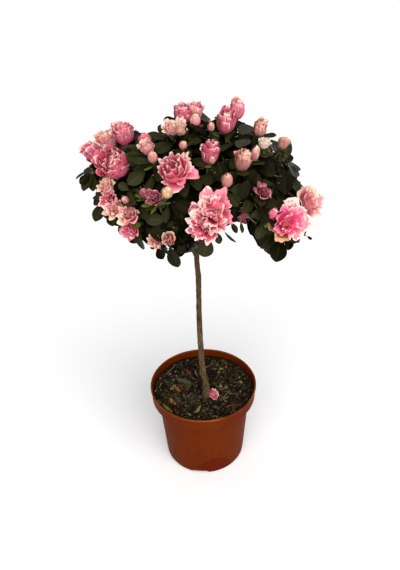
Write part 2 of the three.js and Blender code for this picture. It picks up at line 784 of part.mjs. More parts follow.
// Every place where a new twig can leave the twigs already grown, with the way they run and how thick they
// are there. A twig holds the row of its rings' middles, so that a place on it lies inside it.
function startsOn(twigs, taken) {
  const starts = [];
  for (const { middles, radius } of twigs) {
    for (let i = 1; i < middles.length; i++) {
      const [from, to] = [middles[i - 1], middles[i]];
      const along = to.clone().sub(from).normalize();
      for (let share = 0.1; share < 1; share += 0.2) {
        const place = (i - 1 + share) / (middles.length - 1);
        const at = from.clone().lerp(to, share);
        if (place < TWIG_STARTS.first || place > TWIG_STARTS.last) continue;
        if (taken.some((other) => other.distanceTo(at) < TWIG_STARTS.apart)) continue;
        starts.push({ at, along, radius: radius(place) });
      }
    }
  }
  return starts;
}

// The shortest next twig: which tip it goes to and where it starts.
function nextTwig(tips, twigs, taken) {
  let best = null;
  for (const start of startsOn(twigs, taken)) {
    for (const tip of tips) {
      const way = twigEnd(tip).sub(start.at);
      const length = way.length();
      const turn = way.divideScalar(length).dot(start.along);
      if (turn < SHARPEST_TURN || tip.out.dot(way) < -0.5) continue;
      const cost = length * (1.5 - 0.5 * turn) - 8 * start.radius;
      if (!best || cost < best.cost) best = { cost, tip, start, way: way.clone() };
    }
  }
  return best;
}

// A mass's stem, the twigs that branch from it to its tips, and the blooms on their ends.
function woodAndBlooms(mass, core, neighbours) {
  const middle = middleOf(mass.tips);
  const fromMiddle = (tip) => tip.at.distanceTo(middle);
  const waiting = [...mass.tips].sort((a, b) => fromMiddle(a) - fromMiddle(b));
  const leader = waiting.shift();
  const leaderCurve = twigCurve(mass.foot, mass.away, twigEnd(leader), leader.out);
  const stemRadius = (share) => between(TWIG.stemRadius, TWIG.stemTipRadius, share);
  const pieces = [limb(leaderCurve, stemRadius, TWIG.sides + 1, TWIG.steps + 1)];
  const twigs = [{ middles: leaderCurve.getSpacedPoints(TWIG.steps + 1), radius: stemRadius }];
  const kept = [leader];
  const taken = [];
  while (waiting.length > 0) {
    const next = nextTwig(waiting, twigs, taken);
    if (!next) break;
    waiting.splice(waiting.indexOf(next.tip), 1);
    const away = next.way.clone().lerp(next.start.along, 0.35).normalize();
    const curve = twigCurve(next.start.at, away, twigEnd(next.tip), next.tip.out);
    const thick = THREE.MathUtils.clamp(TWIG.sideShare * next.start.radius, TWIG.thinnest, TWIG.thickestSide);
    const radius = (share) => between(thick, TWIG.thinnest, share);
    const shoot = limb(curve, radius, TWIG.sides, TWIG.steps);
    if (!isClear(shoot, neighbours)) continue;
    twigs.push({ middles: curve.getSpacedPoints(TWIG.steps), radius });
    taken.push(next.start.at);
    pieces.push(shoot);
    kept.push(next.tip);
  }
  for (const tip of kept.filter((other) => other.bloom)) {
    const bloom = BLOOM_SIZES.map((size) => bloomBody(tip, size)).find((body) => isClear(body, neighbours));
    if (bloom) pieces.push(bloom);
  }
  mass.tips = kept;
  return biggestBody(wasm.Manifold.union([core, ...pieces]));
}

// The leaves of a mass that keep to the mass's space, inside the crown's edge, and clear of blooms, limbs and
// one another.
function leavesOf(mass, index, masses, balls, neighbours) {
  const bodies = [];
  const freeParts = [];
  for (const tip of mass.tips) {
    for (const ways of whorlLeaves(tip)) {
      for (const leaf of ways) {
        const places = LEAF_OUTLINE.map((share) => onLeaf(leaf, share));
        if (places.some((place) => massAt(place, masses) !== index || !isInsideEdge(place))) continue;
        if (places.some((place) => balls.some((ball) => isInBloom(place, ball)))) continue;
        const freePart = leafBody(leaf, LEAF.freeFrom);
        if (!isClear(freePart, freeParts)) continue;
        const body = leafBody(leaf);
        if (!isClear(body, neighbours)) continue;
        freeParts.push(freePart);
        bodies.push(body);
        break;
      }
    }
  }
  return bodies;
}

// Building it

function meshOf(name, solid, paint) {
  const mesh = new THREE.Mesh(geometryOf(solid), new THREE.MeshStandardMaterial(paint));
  mesh.name = name;
  return mesh;
}

const group = new THREE.Group();
const stem = stemBody();
group.add(meshOf("pot", potShell(), PAINT.pot));
const soil = soilBody();
group.add(meshOf("soil", soil, PAINT.soil));
group.add(meshOf("fallen_bloom", fallenBloom(soil), PAINT.bloom));
group.add(meshOf("trunk", stem, PAINT.bark));

const tips = allTips();
tips.forEach((tip, i) => (tip.index = i));
const masses = MASSES.map((mass) => {
  const bearing = THREE.MathUtils.degToRad(mass.bearing);
  const inside = CROWN.middle.clone().lerp(onDome(bearing, mass.cosine), 0.62);
  return { ...mass, seat: inside, tips: [] };
});
// Blooms that stand close together belong to one mass.
tips.forEach((tip, i) => {
  const middle = tip.bloom ? bloomBall(tip).middle : tip.at;
  const near = tips.slice(0, i).find((other) => {
    return tip.bloom && other.bloom && bloomBall(other).middle.distanceTo(middle) < BLOOMS_TOGETHER;
  });
  tip.mass = near ? near.mass : massAt(middle, masses);
  masses[tip.mass].tips.push(tip);
});

// Each bough starts at the stem's side and ends where it enters its mass. The top mass stands on the stem.
const limbs = [stem];
const grownLimbs = [stemBody(CLEAR)];
for (const mass of masses) {
  if (mass.leaves === undefined) {
    placeFoot(mass, stemCurve);
    continue;
  }
  const goal = CROWN.middle.clone().lerp(mass.seat, 0.85);
  const isOwn = (place) => isInCore(place) && masses[massAt(place, masses)] === mass;
  const curve = boughCurve(onStem(FORK_HEIGHT + mass.leaves), goal, isOwn);
  const radius = (share) => between(BOUGH.baseRadius, BOUGH.tipRadius, share);
  let bough = limb(curve, radius, BOUGH.sides, BOUGH.steps);
  for (const other of grownLimbs) bough = bough.subtract(other);
  bough = biggestBody(bough);
  limbs.push(bough);
  grownLimbs.push(limb(curve, (share) => radius(share) + CLEAR, BOUGH.sides, BOUGH.steps, CLEAR));
  group.add(meshOf("bough_" + mass.name, bough, PAINT.bark));
  placeFoot(mass, curve);
}

const wholeCore = grownLimbs.reduce((core, grown) => core.subtract(grown), coreDome());
const frames = [];
const cores = masses.map((mass) => coreOf(mass, masses, wholeCore));
masses.forEach((mass, i) => {
  const otherCores = cores.filter((_, j) => j !== i);
  frames.push(woodAndBlooms(mass, cores[i], [...limbs, ...otherCores, ...frames]));
});
const balls = tips.filter((tip) => tip.bloom).map(bloomBall);
const finished = [];
masses.forEach((mass, i) => {
  const neighbours = [...limbs, ...finished, ...frames.filter((_, j) => j > i)];
  const leaves = leavesOf(mass, i, masses, balls, neighbours);
  const whole = joined([frames[i], ...leaves]);
  finished.push(whole);
  group.add(meshOf("foliage_" + mass.name, whole, PAINT.foliage));
});

export default group;
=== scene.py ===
"""A potted azalea grown as a little standard tree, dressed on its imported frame.

Sizes are in millimetres, and a mesh is made in metres as it is built. The crown grows by the same
rule as the solids do: blooms and whorls of leaves where they show from the front, more of them spread
over a low dome, and twigs that branch to them from the boughs.
"""

from __future__ import annotations

import itertools
import logging
import math
from dataclasses import dataclass, field, replace
from enum import Enum
from typing import ClassVar, Iterator, Optional, Sequence, Union

import bpy
import numpy as np
from mathutils import Matrix, Vector, noise


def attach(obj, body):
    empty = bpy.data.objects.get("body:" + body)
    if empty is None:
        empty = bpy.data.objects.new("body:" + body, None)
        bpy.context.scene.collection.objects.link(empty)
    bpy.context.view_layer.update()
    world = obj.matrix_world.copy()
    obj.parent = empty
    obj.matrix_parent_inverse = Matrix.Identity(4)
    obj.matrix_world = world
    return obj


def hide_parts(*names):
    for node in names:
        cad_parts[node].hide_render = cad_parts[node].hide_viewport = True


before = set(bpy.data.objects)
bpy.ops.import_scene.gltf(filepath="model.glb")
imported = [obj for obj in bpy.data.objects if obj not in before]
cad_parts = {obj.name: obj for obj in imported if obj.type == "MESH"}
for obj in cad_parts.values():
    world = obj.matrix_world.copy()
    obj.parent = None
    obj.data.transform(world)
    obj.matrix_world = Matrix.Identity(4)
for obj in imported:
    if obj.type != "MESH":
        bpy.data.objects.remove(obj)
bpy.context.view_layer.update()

LOG = logging.getLogger("azalea")
Array = np.ndarray
Material = bpy.types.Material
Triple = tuple[float, float, float]
Colour = Triple
Pixel = tuple[float, float]
Span = tuple[float, float]

MM = 0.001  # metres in a millimetre
BODY = "root"
SEED = 20  # one number behind every chance in the crown
GOLDEN = math.pi * (3 - math.sqrt(5))  # the turn from one leaf, or one even place, to the next
UP = np.array([0.0, 0.0, 1.0])


# Small sums


def chance(*counts: int) -> float:
    """Give a steady number from 0 to 1 for each set of counts, as the solids' source does.

    Args:
        counts: Whole numbers that say which chance is meant.

    Returns:
        The number.
    """
    modulus = 2147483647
    state = SEED
    for count in (*counts, 3, 5):
        state = (state * 48271 + (count + 1) * 69621) % modulus
    return state / modulus


def between(low: float, high: float, share: float) -> float:
    """Return the number a share of the way from low to high."""
    return low + (high - low) * share


def point(*values: float) -> Array:
    """Return three numbers as a place or a direction."""
    return np.array(values, float)


def length_of(vector: Array) -> float:
    """Return a vector's length."""
    return float(np.linalg.norm(vector))


def unit(vectors: Array) -> Array:
    """Return one vector, or rows of them, at length one."""
    lengths = np.linalg.norm(vectors, axis=-1, keepdims=True)
    return vectors / np.maximum(lengths, 1e-9)


def smooth(low: float, high: float, value: Union[float, Array]) -> Union[float, Array]:
    """Return a smooth rise from 0 at low to 1 at high."""
    share = np.clip((value - low) / (high - low), 0, 1)
    return share * share * (3 - 2 * share)


def square_to(direction: Array) -> tuple[Array, Array]:
    """Return two directions square to each other and to the one given, as the source makes them."""
    across = np.cross(direction, UP)
    if length_of(across) < 0.05:
        across = point(1, 0, 0) - direction * direction[0]
    across = unit(across)
    return across, np.cross(direction, across)


def square_part(direction: Array, way: Array) -> Array:
    """Return the part of a direction that is square to a way, at length one."""
    return unit(direction - way * float(direction @ way))


def apart_by_turn(angles: Array, bearing: float) -> Array:
    """Return how far angles are from a bearing, from minus half a turn to half a turn."""
    return (angles - bearing + math.pi) % (2 * math.pi) - math.pi


def even_turn(count: int) -> Array:
    """Return so many angles, spread evenly round one turn."""
    return np.arange(count) * 2 * math.pi / count


def lengths_along(line: Array) -> Array:
    """Return the length of a line up to each of its places."""
    return np.concatenate([[0], np.cumsum(np.linalg.norm(np.diff(line, axis=0), axis=1))])


def along_line(line: Array, spots: Union[float, Array], lengths: Array) -> Array:
    """Return the places on a line at the spots that a count of lengths gives."""
    return np.stack([np.interp(spots, lengths, line[:, axis]) for axis in range(3)], axis=-1)


def bezier(controls: Sequence[Array], steps: int) -> Array:
    """Sample a curve at even values of its parameter.

    Args:
        controls: Three or four control places.
        steps: How many stretches the curve is cut into.

    Returns:
        The places, one row each.
    """
    share = np.linspace(0, 1, steps + 1)[:, None]
    degree = len(controls) - 1
    total = np.zeros((steps + 1, 3))
    for i, control in enumerate(controls):
        total += math.comb(degree, i) * (1 - share) ** (degree - i) * share**i * control
    return total


def curve_through(places: Sequence[Array], per_span: int) -> Array:
    """Draw a smooth curve through places, with knots spaced by the square root of their distance.

    Args:
        places: The places that the curve passes.
        per_span: How many stretches there are between one place and the next.

    Returns:
        The curve's places, one row each.
    """
    rows = [np.asarray(place, float) for place in places]
    rows = [2 * rows[0] - rows[1], *rows, 2 * rows[-1] - rows[-2]]
    drawn = []
    for i in range(1, len(rows) - 2):
        near = rows[i - 1 : i + 3]
        before, start, end, after = near
        knots = [math.sqrt(length_of(b - a)) for a, b in itertools.pairwise(near)]
        early, span, late = knots
        first = (start - before) / early - (end - before) / (early + span) + (end - start) / span
        last = (end - start) / span - (after - start) / (span + late) + (after - end) / late
        first, last = first * span, last * span
        for step in range(per_span):
            t = step / per_span
            drawn.append(
                start
                + first * t
                + (-3 * start + 3 * end - 2 * first - last) * t**2
                + (2 * start - 2 * end + first + last) * t**3
            )
    drawn.append(rows[-2])
    return np.array(drawn)


# Shaders


class Shade:
    """A socket of a material, with sums on it that add Math nodes."""

    def __init__(self, wiring: "Wiring", socket: bpy.types.NodeSocket) -> None:
        """Wrap a socket of a wiring's material."""
        self.wiring = wiring
        self.socket = socket

    def _math(self, operation: str, first: "Value", second: "Value") -> "Shade":
        """Add one Math node on two values."""
        return self.wiring.add("ShaderNodeMath", {"operation": operation}, {0: first, 1: second})

    def __add__(self, other: "Value") -> "Shade":
        """Return the sum."""
        return self._math("ADD", self, other)

    __radd__ = __add__

    def __mul__(self, other: "Value") -> "Shade":
        """Return the product."""
        return self._math("MULTIPLY", self, other)

    __rmul__ = __mul__

    def __sub__(self, other: "Value") -> "Shade":
        """Return this less the other."""
        return self._math("SUBTRACT", self, other)

    def __rsub__(self, other: "Value") -> "Shade":
        """Return the other less this."""
        return self._math("SUBTRACT", other, self)


Value = Union[Shade, float, int, Sequence[float]]


class Wiring:
    """A material's nodes, made round one Principled shader."""

    def __init__(self, name: str) -> None:
        """Start a material of that name with an empty shader."""
        self.material = bpy.data.materials.new(name)
        self.material.use_nodes = True
        self.nodes = self.material.node_tree.nodes
        self.shader = next(node for node in self.nodes if node.type == "BSDF_PRINCIPLED")

    def _feed(self, socket: bpy.types.NodeSocket, value: Value) -> None:
        """Link a socket to a shade, or set it to a value."""
        if isinstance(value, Shade):
            self.material.node_tree.links.new(value.socket, socket)
        elif isinstance(value, (int, float)):
            socket.default_value = value
        elif len(value) == 3 and socket.type == "RGBA":
            socket.default_value = (*value, 1.0)
        else:
            socket.default_value = value

    def add(
        self,
        kind: str,
        settings: Optional[dict[str, object]] = None,
        values: Optional[dict[Union[str, int], Value]] = None,
        output: Union[str, int] = 0,
    ) -> Shade:
        """Add a node.

        Args:
            kind: The node's type.
            settings: What is set on the node first. "stops" sets a ramp's stops.
            values: A value or a shade for each input that is named or counted.
            output: The output that is wanted.

        Returns:
            That output.
        """
        node = self.nodes.new(kind)
        for name, setting in (settings or {}).items():
            if name == "stops":
                self._set_stops(node, setting)
            else:
                setattr(node, name, setting)
        for key, value in (values or {}).items():
            self._feed(node.inputs[key], value)
        return Shade(self, node.outputs[output])

    @staticmethod
    def _set_stops(node: bpy.types.Node, stops: Sequence[tuple[float, Colour]]) -> None:
        """Give a ramp its stops."""
        elements = node.color_ramp.elements
        while len(elements) < len(stops):
            elements.new(0.5)
        for element, (place, colour) in zip(elements, stops):
            element.position = place
            element.color = (*colour, 1.0)

    def place(self, stretch: Sequence[float] = (1, 1, 1)) -> Shade:
        """Return the place on the object, stretched along each axis."""
        spot = self.add("ShaderNodeTexCoord", output="Object")
        return self.add("ShaderNodeMapping", values={"Vector": spot, "Scale": stretch})

    def noise(self, scale: float, detail: float = 3, stretch: Sequence[float] = (1, 1, 1)) -> Shade:
        """Return a cloudy pattern, with its scale for each metre."""
        values = {"Vector": self.place(stretch), "Scale": scale, "Detail": detail, "Roughness": 0.6}
        return self.add("ShaderNodeTexNoise", values=values, output="Fac")

    def ramp(self, factor: Shade, *stops: tuple[float, Colour]) -> Shade:
        """Return the colour that a ramp gives a factor."""
        return self.add("ShaderNodeValToRGB", {"stops": stops}, {"Fac": factor}, "Color")

    def axes(self) -> list[Shade]:
        """Return the place on the object as three shades."""
        values = {"Vector": self.add("ShaderNodeTexCoord", output="Object")}
        return [self.add("ShaderNodeSeparateXYZ", values=values, output=axis) for axis in range(3)]

    def step(self, value: Value, low: float, high: float) -> Shade:
        """Return a smooth step from 0 at the low end to 1 at the high end."""
        settings = {"interpolation_type": "SMOOTHSTEP"}
        return self.add("ShaderNodeMapRange", settings, {"Value": value, "From Min": low, "From Max": high})

    def mix(self, factor: Value, first: Value, second: Value) -> Shade:
        """Return a mix of two colours."""
        return self.add("ShaderNodeMix", {"data_type": "RGBA"}, {0: factor, 6: first, 7: second}, 2)

    def bump(self, height: Shade, distance: float, strength: float = 1.0) -> None:
        """Lead a height to the shader's normal, with its distance in millimetres."""
        values = {"Height": height, "Distance": distance * MM, "Strength": strength}
        self.finish({"Normal": self.add("ShaderNodeBump", values=values)})

    def finish(self, values: dict[str, Value]) -> Material:
        """Set or link the shader's own sockets, and return the material."""
        for name, value in values.items():
            self._feed(self.shader.inputs[name], value)
        return self.material


@dataclass(frozen=True)
class PlasticFinish:
    """Moulded pot plastic: satin, faintly clouded, with fine scuffs."""

    base: Colour = (0.115, 0.0168, 0.0004)
    clouded: Colour = (0.098, 0.0132, 0.0003)
    polished: Colour = (0.092, 0.0072, 0.0002)
    worn: Colour = (0.066, 0.009, 0.0005)
    lip: Colour = (0.25, 0.058, 0.017)
    roughness: float = 0.5
    specular: float = 0.02
    speckle_scale: float = 2600
    cloud_scale: float = 24
    panel_bearing: float = math.radians(-77)
    panel_half: float = 0.0236
    panel_height: float = 0.033
    panel_bend: float = 29

    def _low_marks(self, wiring: Wiring, colour: Shade) -> Shade:
        """Lay faint worn streaks and one smooth panel over the foot of the wall.

        Args:
            wiring: The material's nodes.
            colour: The wall's colour.

        Returns:
            The colour with the marks.
        """
        x, y, height = wiring.axes()
        right, ahead = -math.sin(self.panel_bearing), math.cos(self.panel_bearing)
        aside = x * right + y * ahead
        low = wiring.step(height, 0.06, 0.035) * wiring.step(height, 0.004, 0.009)
        streaks = wiring.step(wiring.noise(130, 4, (1, 1, 0.25)), 0.52, 0.62)
        colour = wiring.mix(low * streaks * 0.55, colour, self.worn)
        edge = height + aside * aside * self.panel_bend
        panel = wiring.step(edge, self.panel_height + 0.0008, self.panel_height - 0.0008)
        panel = panel * wiring.step(aside * aside, (1.04 * self.panel_half) ** 2, self.panel_half**2)
        panel = panel * wiring.step(x * ahead - y * right, 0, 0.01)
        return wiring.mix(panel, colour, self.polished)

    def material(self, name: str, is_lip: bool = False) -> Material:
        """Make the plastic of the wall, or the paler plastic that the lip shows where it is thin.

        Args:
            name: The material's name.
            is_lip: True for the lip.

        Returns:
            The material.
        """
        wiring = Wiring(name)
        clouds = wiring.noise(self.cloud_scale, 4, (1, 1, 0.6))
        scuffs = wiring.noise(self.speckle_scale, 2)
        base = self.lip if is_lip else self.base
        dull = self.base if is_lip else self.clouded
        colour = wiring.ramp(clouds, (0.38, dull), (0.62, base))
        if not is_lip:
            colour = self._low_marks(wiring, colour)
        wiring.bump(scuffs, 0.04, 0.5)
        rough = clouds * 0.16 + (self.roughness - 0.08)
        values = {"Base Color": colour, "Roughness": rough, "Specular IOR Level": self.specular}
        return wiring.finish(values)


@dataclass(frozen=True)
class MatterFinish:
    """Peat or bark: two grains mixed into three colours, and a relief from the first."""

    colours: tuple[Colour, Colour, Colour]
    stops: Triple
    grains: tuple[Triple, Triple]
    first_share: float
    roughness: float
    bump: tuple[float, float]

    def material(self, name: str) -> Material:
        """Make the surface."""
        wiring = Wiring(name)
        grain, patches = (wiring.noise(scale, detail, (1, 1, up)) for scale, detail, up in self.grains)
        mixed = grain * self.first_share + patches * (1 - self.first_share)
        colour = wiring.ramp(mixed, *zip(self.stops, self.colours))
        wiring.bump(grain, *self.bump)
        values = {"Base Color": colour, "Roughness": self.roughness, "Specular IOR Level": 0.08}
        return wiring.finish(values)


PEAT = MatterFinish(
    ((0.0016, 0.001, 0.0005), (0.017, 0.0085, 0.003), (0.075, 0.042, 0.014)),
    (0.4, 0.54, 0.68),
    ((900, 6, 1), (120, 3, 1)),
    first_share=0.7,
    roughness=0.92,
    bump=(1.0, 0.9),
)
BARK = MatterFinish(
    ((0.022, 0.012, 0.006), (0.075, 0.043, 0.019), (0.15, 0.1, 0.055)),
    (0.38, 0.5, 0.66),
    ((950, 5, 0.16), (60, 3, 0.5)),
    first_share=0.65,
    roughness=0.8,
    bump=(0.35, 0.8),
)


@dataclass(frozen=True)
class SoftFinish:
    """A living surface of one plain colour, finely uneven: a leaf, a petal, a young stem or litter."""

    colour: Colour = (1, 1, 1)
    roughness: float = 0.5
    specular: float = 0.5
    grain_scale: float = 700
    grain_depth: float = 0.12
    unevenness: float = 0.14
    glow: float = 0.0
    glow_radius: Colour = (0.004, 0.0016, 0.0014)
    sheen: Colour = (1, 1, 1)

    def material(self, name: str) -> Material:
        """Make the surface, with its roughness and relief from a fine grain."""
        wiring = Wiring(name)
        grain = wiring.noise(self.grain_scale, 3)
        wiring.bump(grain, self.grain_depth, 0.7)
        rough = grain * self.unevenness + (self.roughness - self.unevenness / 2)
        values: dict[str, Value] = {
            "Base Color": self.colour,
            "Roughness": rough,
            "Specular IOR Level": self.specular,
            "Specular Tint": self.sheen,
        }
        if self.glow > 0:
            values["Subsurface Weight"] = self.glow
            values["Subsurface Radius"] = self.glow_radius
            values["Subsurface Scale"] = 1.0
        return wiring.finish(values)


def in_colours(prefix: str, colours: type[Enum], finish: SoftFinish) -> list[Material]:
    """Make a material of one finish in each colour."""
    made = []
    for colour in colours:
        made.append(replace(finish, colour=colour.value).material(f"{prefix}_{colour.name.lower()}"))
    return made


# Meshes


def show(name: str, data: bpy.types.ID) -> bpy.types.Object:
    """Put a mesh, a light or a camera into the scene as an object."""
    made = bpy.data.objects.new(name, data)
    bpy.context.scene.collection.objects.link(made)
    return made


class MeshMaker:
    """Gathers the faces of one piece and makes its object."""

    def __init__(self, name: str, materials: Sequence[Material], slot: str) -> None:
        """Start an empty piece.

        Args:
            name: The piece's name.
            materials: Its materials, in the order that its faces count them.
            slot: The record's material slot; not used.
        """
        self.name = name
        self.materials = list(materials)
        self.slot = slot
        self.count = 0
        self.points: list[Array] = []
        self.faces: list[tuple[Array, Array]] = []

    def add(self, points: Array, faces: Array, dress: Union[int, Array] = 0) -> None:
        """Add places in millimetres and the faces that join them.

        Args:
            points: The places, one row each.
            faces: The corners of each face, one row each.
            dress: The material of all the faces, or of each.
        """
        self.points.append(points.reshape(-1, 3))
        self.faces.append((faces + self.count, np.broadcast_to(dress, len(faces))))
        self.count += len(self.points[-1])

    def add_grid(self, points: Array, dress: Union[int, Array] = 0, is_ring: bool = False) -> None:
        """Add a grid of places, joined into quads.

        Args:
            points: The places, by row and by column.
            dress: The material of all the quads, or of each, by row and by column.
            is_ring: True where the last column joins the first.
        """
        rows, columns = points.shape[:2]
        index = np.arange(rows * columns).reshape(rows, columns)
        if is_ring:
            index = np.concatenate([index, index[:, :1]], axis=1)
        quads = np.stack([index[:-1, :-1], index[:-1, 1:], index[1:, 1:], index[1:, :-1]], axis=-1)
        self.add(points, quads.reshape(-1, 4), dress if np.ndim(dress) == 0 else np.ravel(dress))

    def add_tube(self, middles: Array, radii: Array, sides: int, dress: Union[int, Array] = 0) -> None:
        """Add a round limb that is closed at both ends, in one material or in one for each stretch."""
        self.add_limb(middles, tube_rings(middles, radii, sides), np.broadcast_to(dress, len(middles) - 1))

    def add_limb(self, middles: Array, rings: Array, dress: Array) -> None:
        """Join rings of places into a limb that is closed at both ends.

        Args:
            middles: The places on its middle line.
            rings: The places round each of them.
            dress: The material of each stretch.
        """
        sides = rings.shape[1]
        self.add_grid(rings, np.repeat(dress, sides), is_ring=True)
        spin = np.arange(sides)
        fan = np.stack([spin, (spin + 1) % sides, np.full(sides, sides)], axis=1)
        for end, corners in ((0, fan[:, ::-1]), (-1, fan)):
            self.add(np.vstack([rings[end], middles[end]]), corners, dress[end])

    def faces_so_far(self) -> int:
        """Return how many triangles the piece has."""
        return sum(len(rows) * (rows.shape[1] - 2) for rows, _ in self.faces)

    def build(self, *replaced: str, is_smooth: bool = True) -> None:
        """Make the object, which rides on the plant's one body.

        Args:
            replaced: The solids' nodes that it stands for.
            is_smooth: True for smooth shading.
        """
        mesh = bpy.data.meshes.new(self.name)
        points = np.concatenate(self.points) * MM
        corners = np.concatenate([rows.ravel() for rows, _ in self.faces])
        sizes = np.concatenate([np.full(len(rows), rows.shape[1]) for rows, _ in self.faces])
        starts = np.concatenate([[0], np.cumsum(sizes)[:-1]])
        mesh.vertices.add(len(points))
        mesh.vertices.foreach_set("co", points.astype(np.float32).ravel())
        mesh.loops.add(len(corners))
        mesh.loops.foreach_set("vertex_index", corners.astype(np.int32))
        mesh.polygons.add(len(sizes))
        mesh.polygons.foreach_set("loop_start", starts.astype(np.int32))
        dressed = np.concatenate([dress for _, dress in self.faces])
        mesh.polygons.foreach_set("material_index", dressed.astype(np.int32))
        mesh.polygons.foreach_set("use_smooth", np.full(len(sizes), is_smooth))
        mesh.update(calc_edges=True)
        mesh.validate()
        for material in self.materials:
            mesh.materials.append(material)
        made = show(self.name, mesh)
        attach(made, BODY)
        if replaced:
            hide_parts(*replaced)
        LOG.info("%s: %d triangles", self.name, self.faces_so_far())


class Pieces:
    """A row of pieces of one kind, with a new one started wherever the last is full."""

    MOST_TRIANGLES = 180000

    def __init__(self, names: Iterator[str], materials: Sequence[Material], slot: str) -> None:
        """Start with no piece.

        Args:
            names: The pieces' names.
            materials: The materials that they all have.
            slot: The record's material slot.
        """
        self.names = names
        self.materials = materials
        self.slot = slot
        self.makers: list[MeshMaker] = []

    def last(self) -> MeshMaker:
        """Return the piece that takes what is added next."""
        if not self.makers or self.makers[-1].faces_so_far() > self.MOST_TRIANGLES:
            self.makers.append(MeshMaker(next(self.names), self.materials, self.slot))
        return self.makers[-1]

    def build(self, *replaced: str) -> None:
        """Make the objects, of which the first stands for the solids' nodes that are named."""
        for number, maker in enumerate(self.makers):
            maker.build(*(replaced if number == 0 else ()))


def tube_rings(middles: Array, radii: Array, sides: int) -> Array:
    """Return rings of places round a middle line, turned as little as they can be from one to the next.

    Args:
        middles: The places on the middle line.
        radii: The radius at each.
        sides: How many places a ring has.

    Returns:
        The places, by ring and by side.
    """
    tangents = unit(np.gradient(middles, axis=0))
    across, _ = square_to(tangents[0])
    rings = []
    angles = even_turn(sides)[:, None]
    for middle, tangent, radius in zip(middles, tangents, radii):
        across = square_part(across, tangent)
        ring = np.cos(angles) * across + np.sin(angles) * np.cross(tangent, across)
        rings.append(middle + ring * radius)
    return np.array(rings)


# Where the photograph was taken from


@dataclass(frozen=True)
class Viewpoint:
    """The place and the way that the plant is seen from, with a pixel frame of 400 by 570."""

    eye: Triple = (0, -615.7, 689)
    look_down: float = math.radians(32.8)
    roll: float = math.radians(1.9)
    focal_px: float = 573
    middle_px: Pixel = (200, 285)
    sensor: float = 36

    @property
    def place(self) -> Array:
        """Return the eye's place."""
        return point(*self.eye)

    @property
    def ahead(self) -> Array:
        """Return the way that the eye looks."""
        return point(0, math.cos(self.look_down), -math.sin(self.look_down))

    @property
    def above(self) -> Array:
        """Return the way that is up in the level picture."""
        return point(0, math.sin(self.look_down), math.cos(self.look_down))

    def line(self, px: Pixel) -> Array:
        """Return the direction from the eye to a pixel."""
        x = px[0] - self.middle_px[0]
        y = px[1] - self.middle_px[1]
        right = (x * math.cos(self.roll) - y * math.sin(self.roll)) / self.focal_px
        down = (x * math.sin(self.roll) + y * math.cos(self.roll)) / self.focal_px
        return unit(self.ahead + point(right, 0, 0) - self.above * down)

    def seen_at(self, places: Array) -> Array:
        """Return the pixels where places show, one row each."""
        apart = np.atleast_2d(places) - self.place
        deep = apart @ self.ahead
        right = apart[:, 0] * self.focal_px / deep
        down = -(apart @ self.above) * self.focal_px / deep
        x = right * math.cos(self.roll) + down * math.sin(self.roll)
        y = -right * math.sin(self.roll) + down * math.cos(self.roll)
        return np.stack([x, y], axis=1) + np.array(self.middle_px)

    def deep(self, places: Array) -> Array:
        """Return how far ahead of the eye places lie."""
        return (np.atleast_2d(places) - self.place) @ self.ahead

    def at_height(self, px: Pixel, height: float) -> Array:
        """Return the place at a height that shows at a pixel."""
        line = self.line(px)
        return self.place + line * ((height - self.eye[2]) / line[2])

    def make_camera(self) -> None:
        """Make the scene's camera."""
        camera = bpy.data.cameras.new("camera")
        camera.sensor_width = self.sensor
        camera.lens = self.focal_px * self.sensor / (2 * self.middle_px[1])
        camera.clip_start = 0.01
        holder = show("camera", camera)
        turn = Matrix.Rotation(math.pi / 2 - self.look_down, 4, "X") @ Matrix.Rotation(-self.roll, 4, "Z")
        holder.matrix_world = Matrix.Translation(Vector(self.eye) * MM) @ turn
        bpy.context.scene.camera = holder


VIEW = Viewpoint()


# The pot


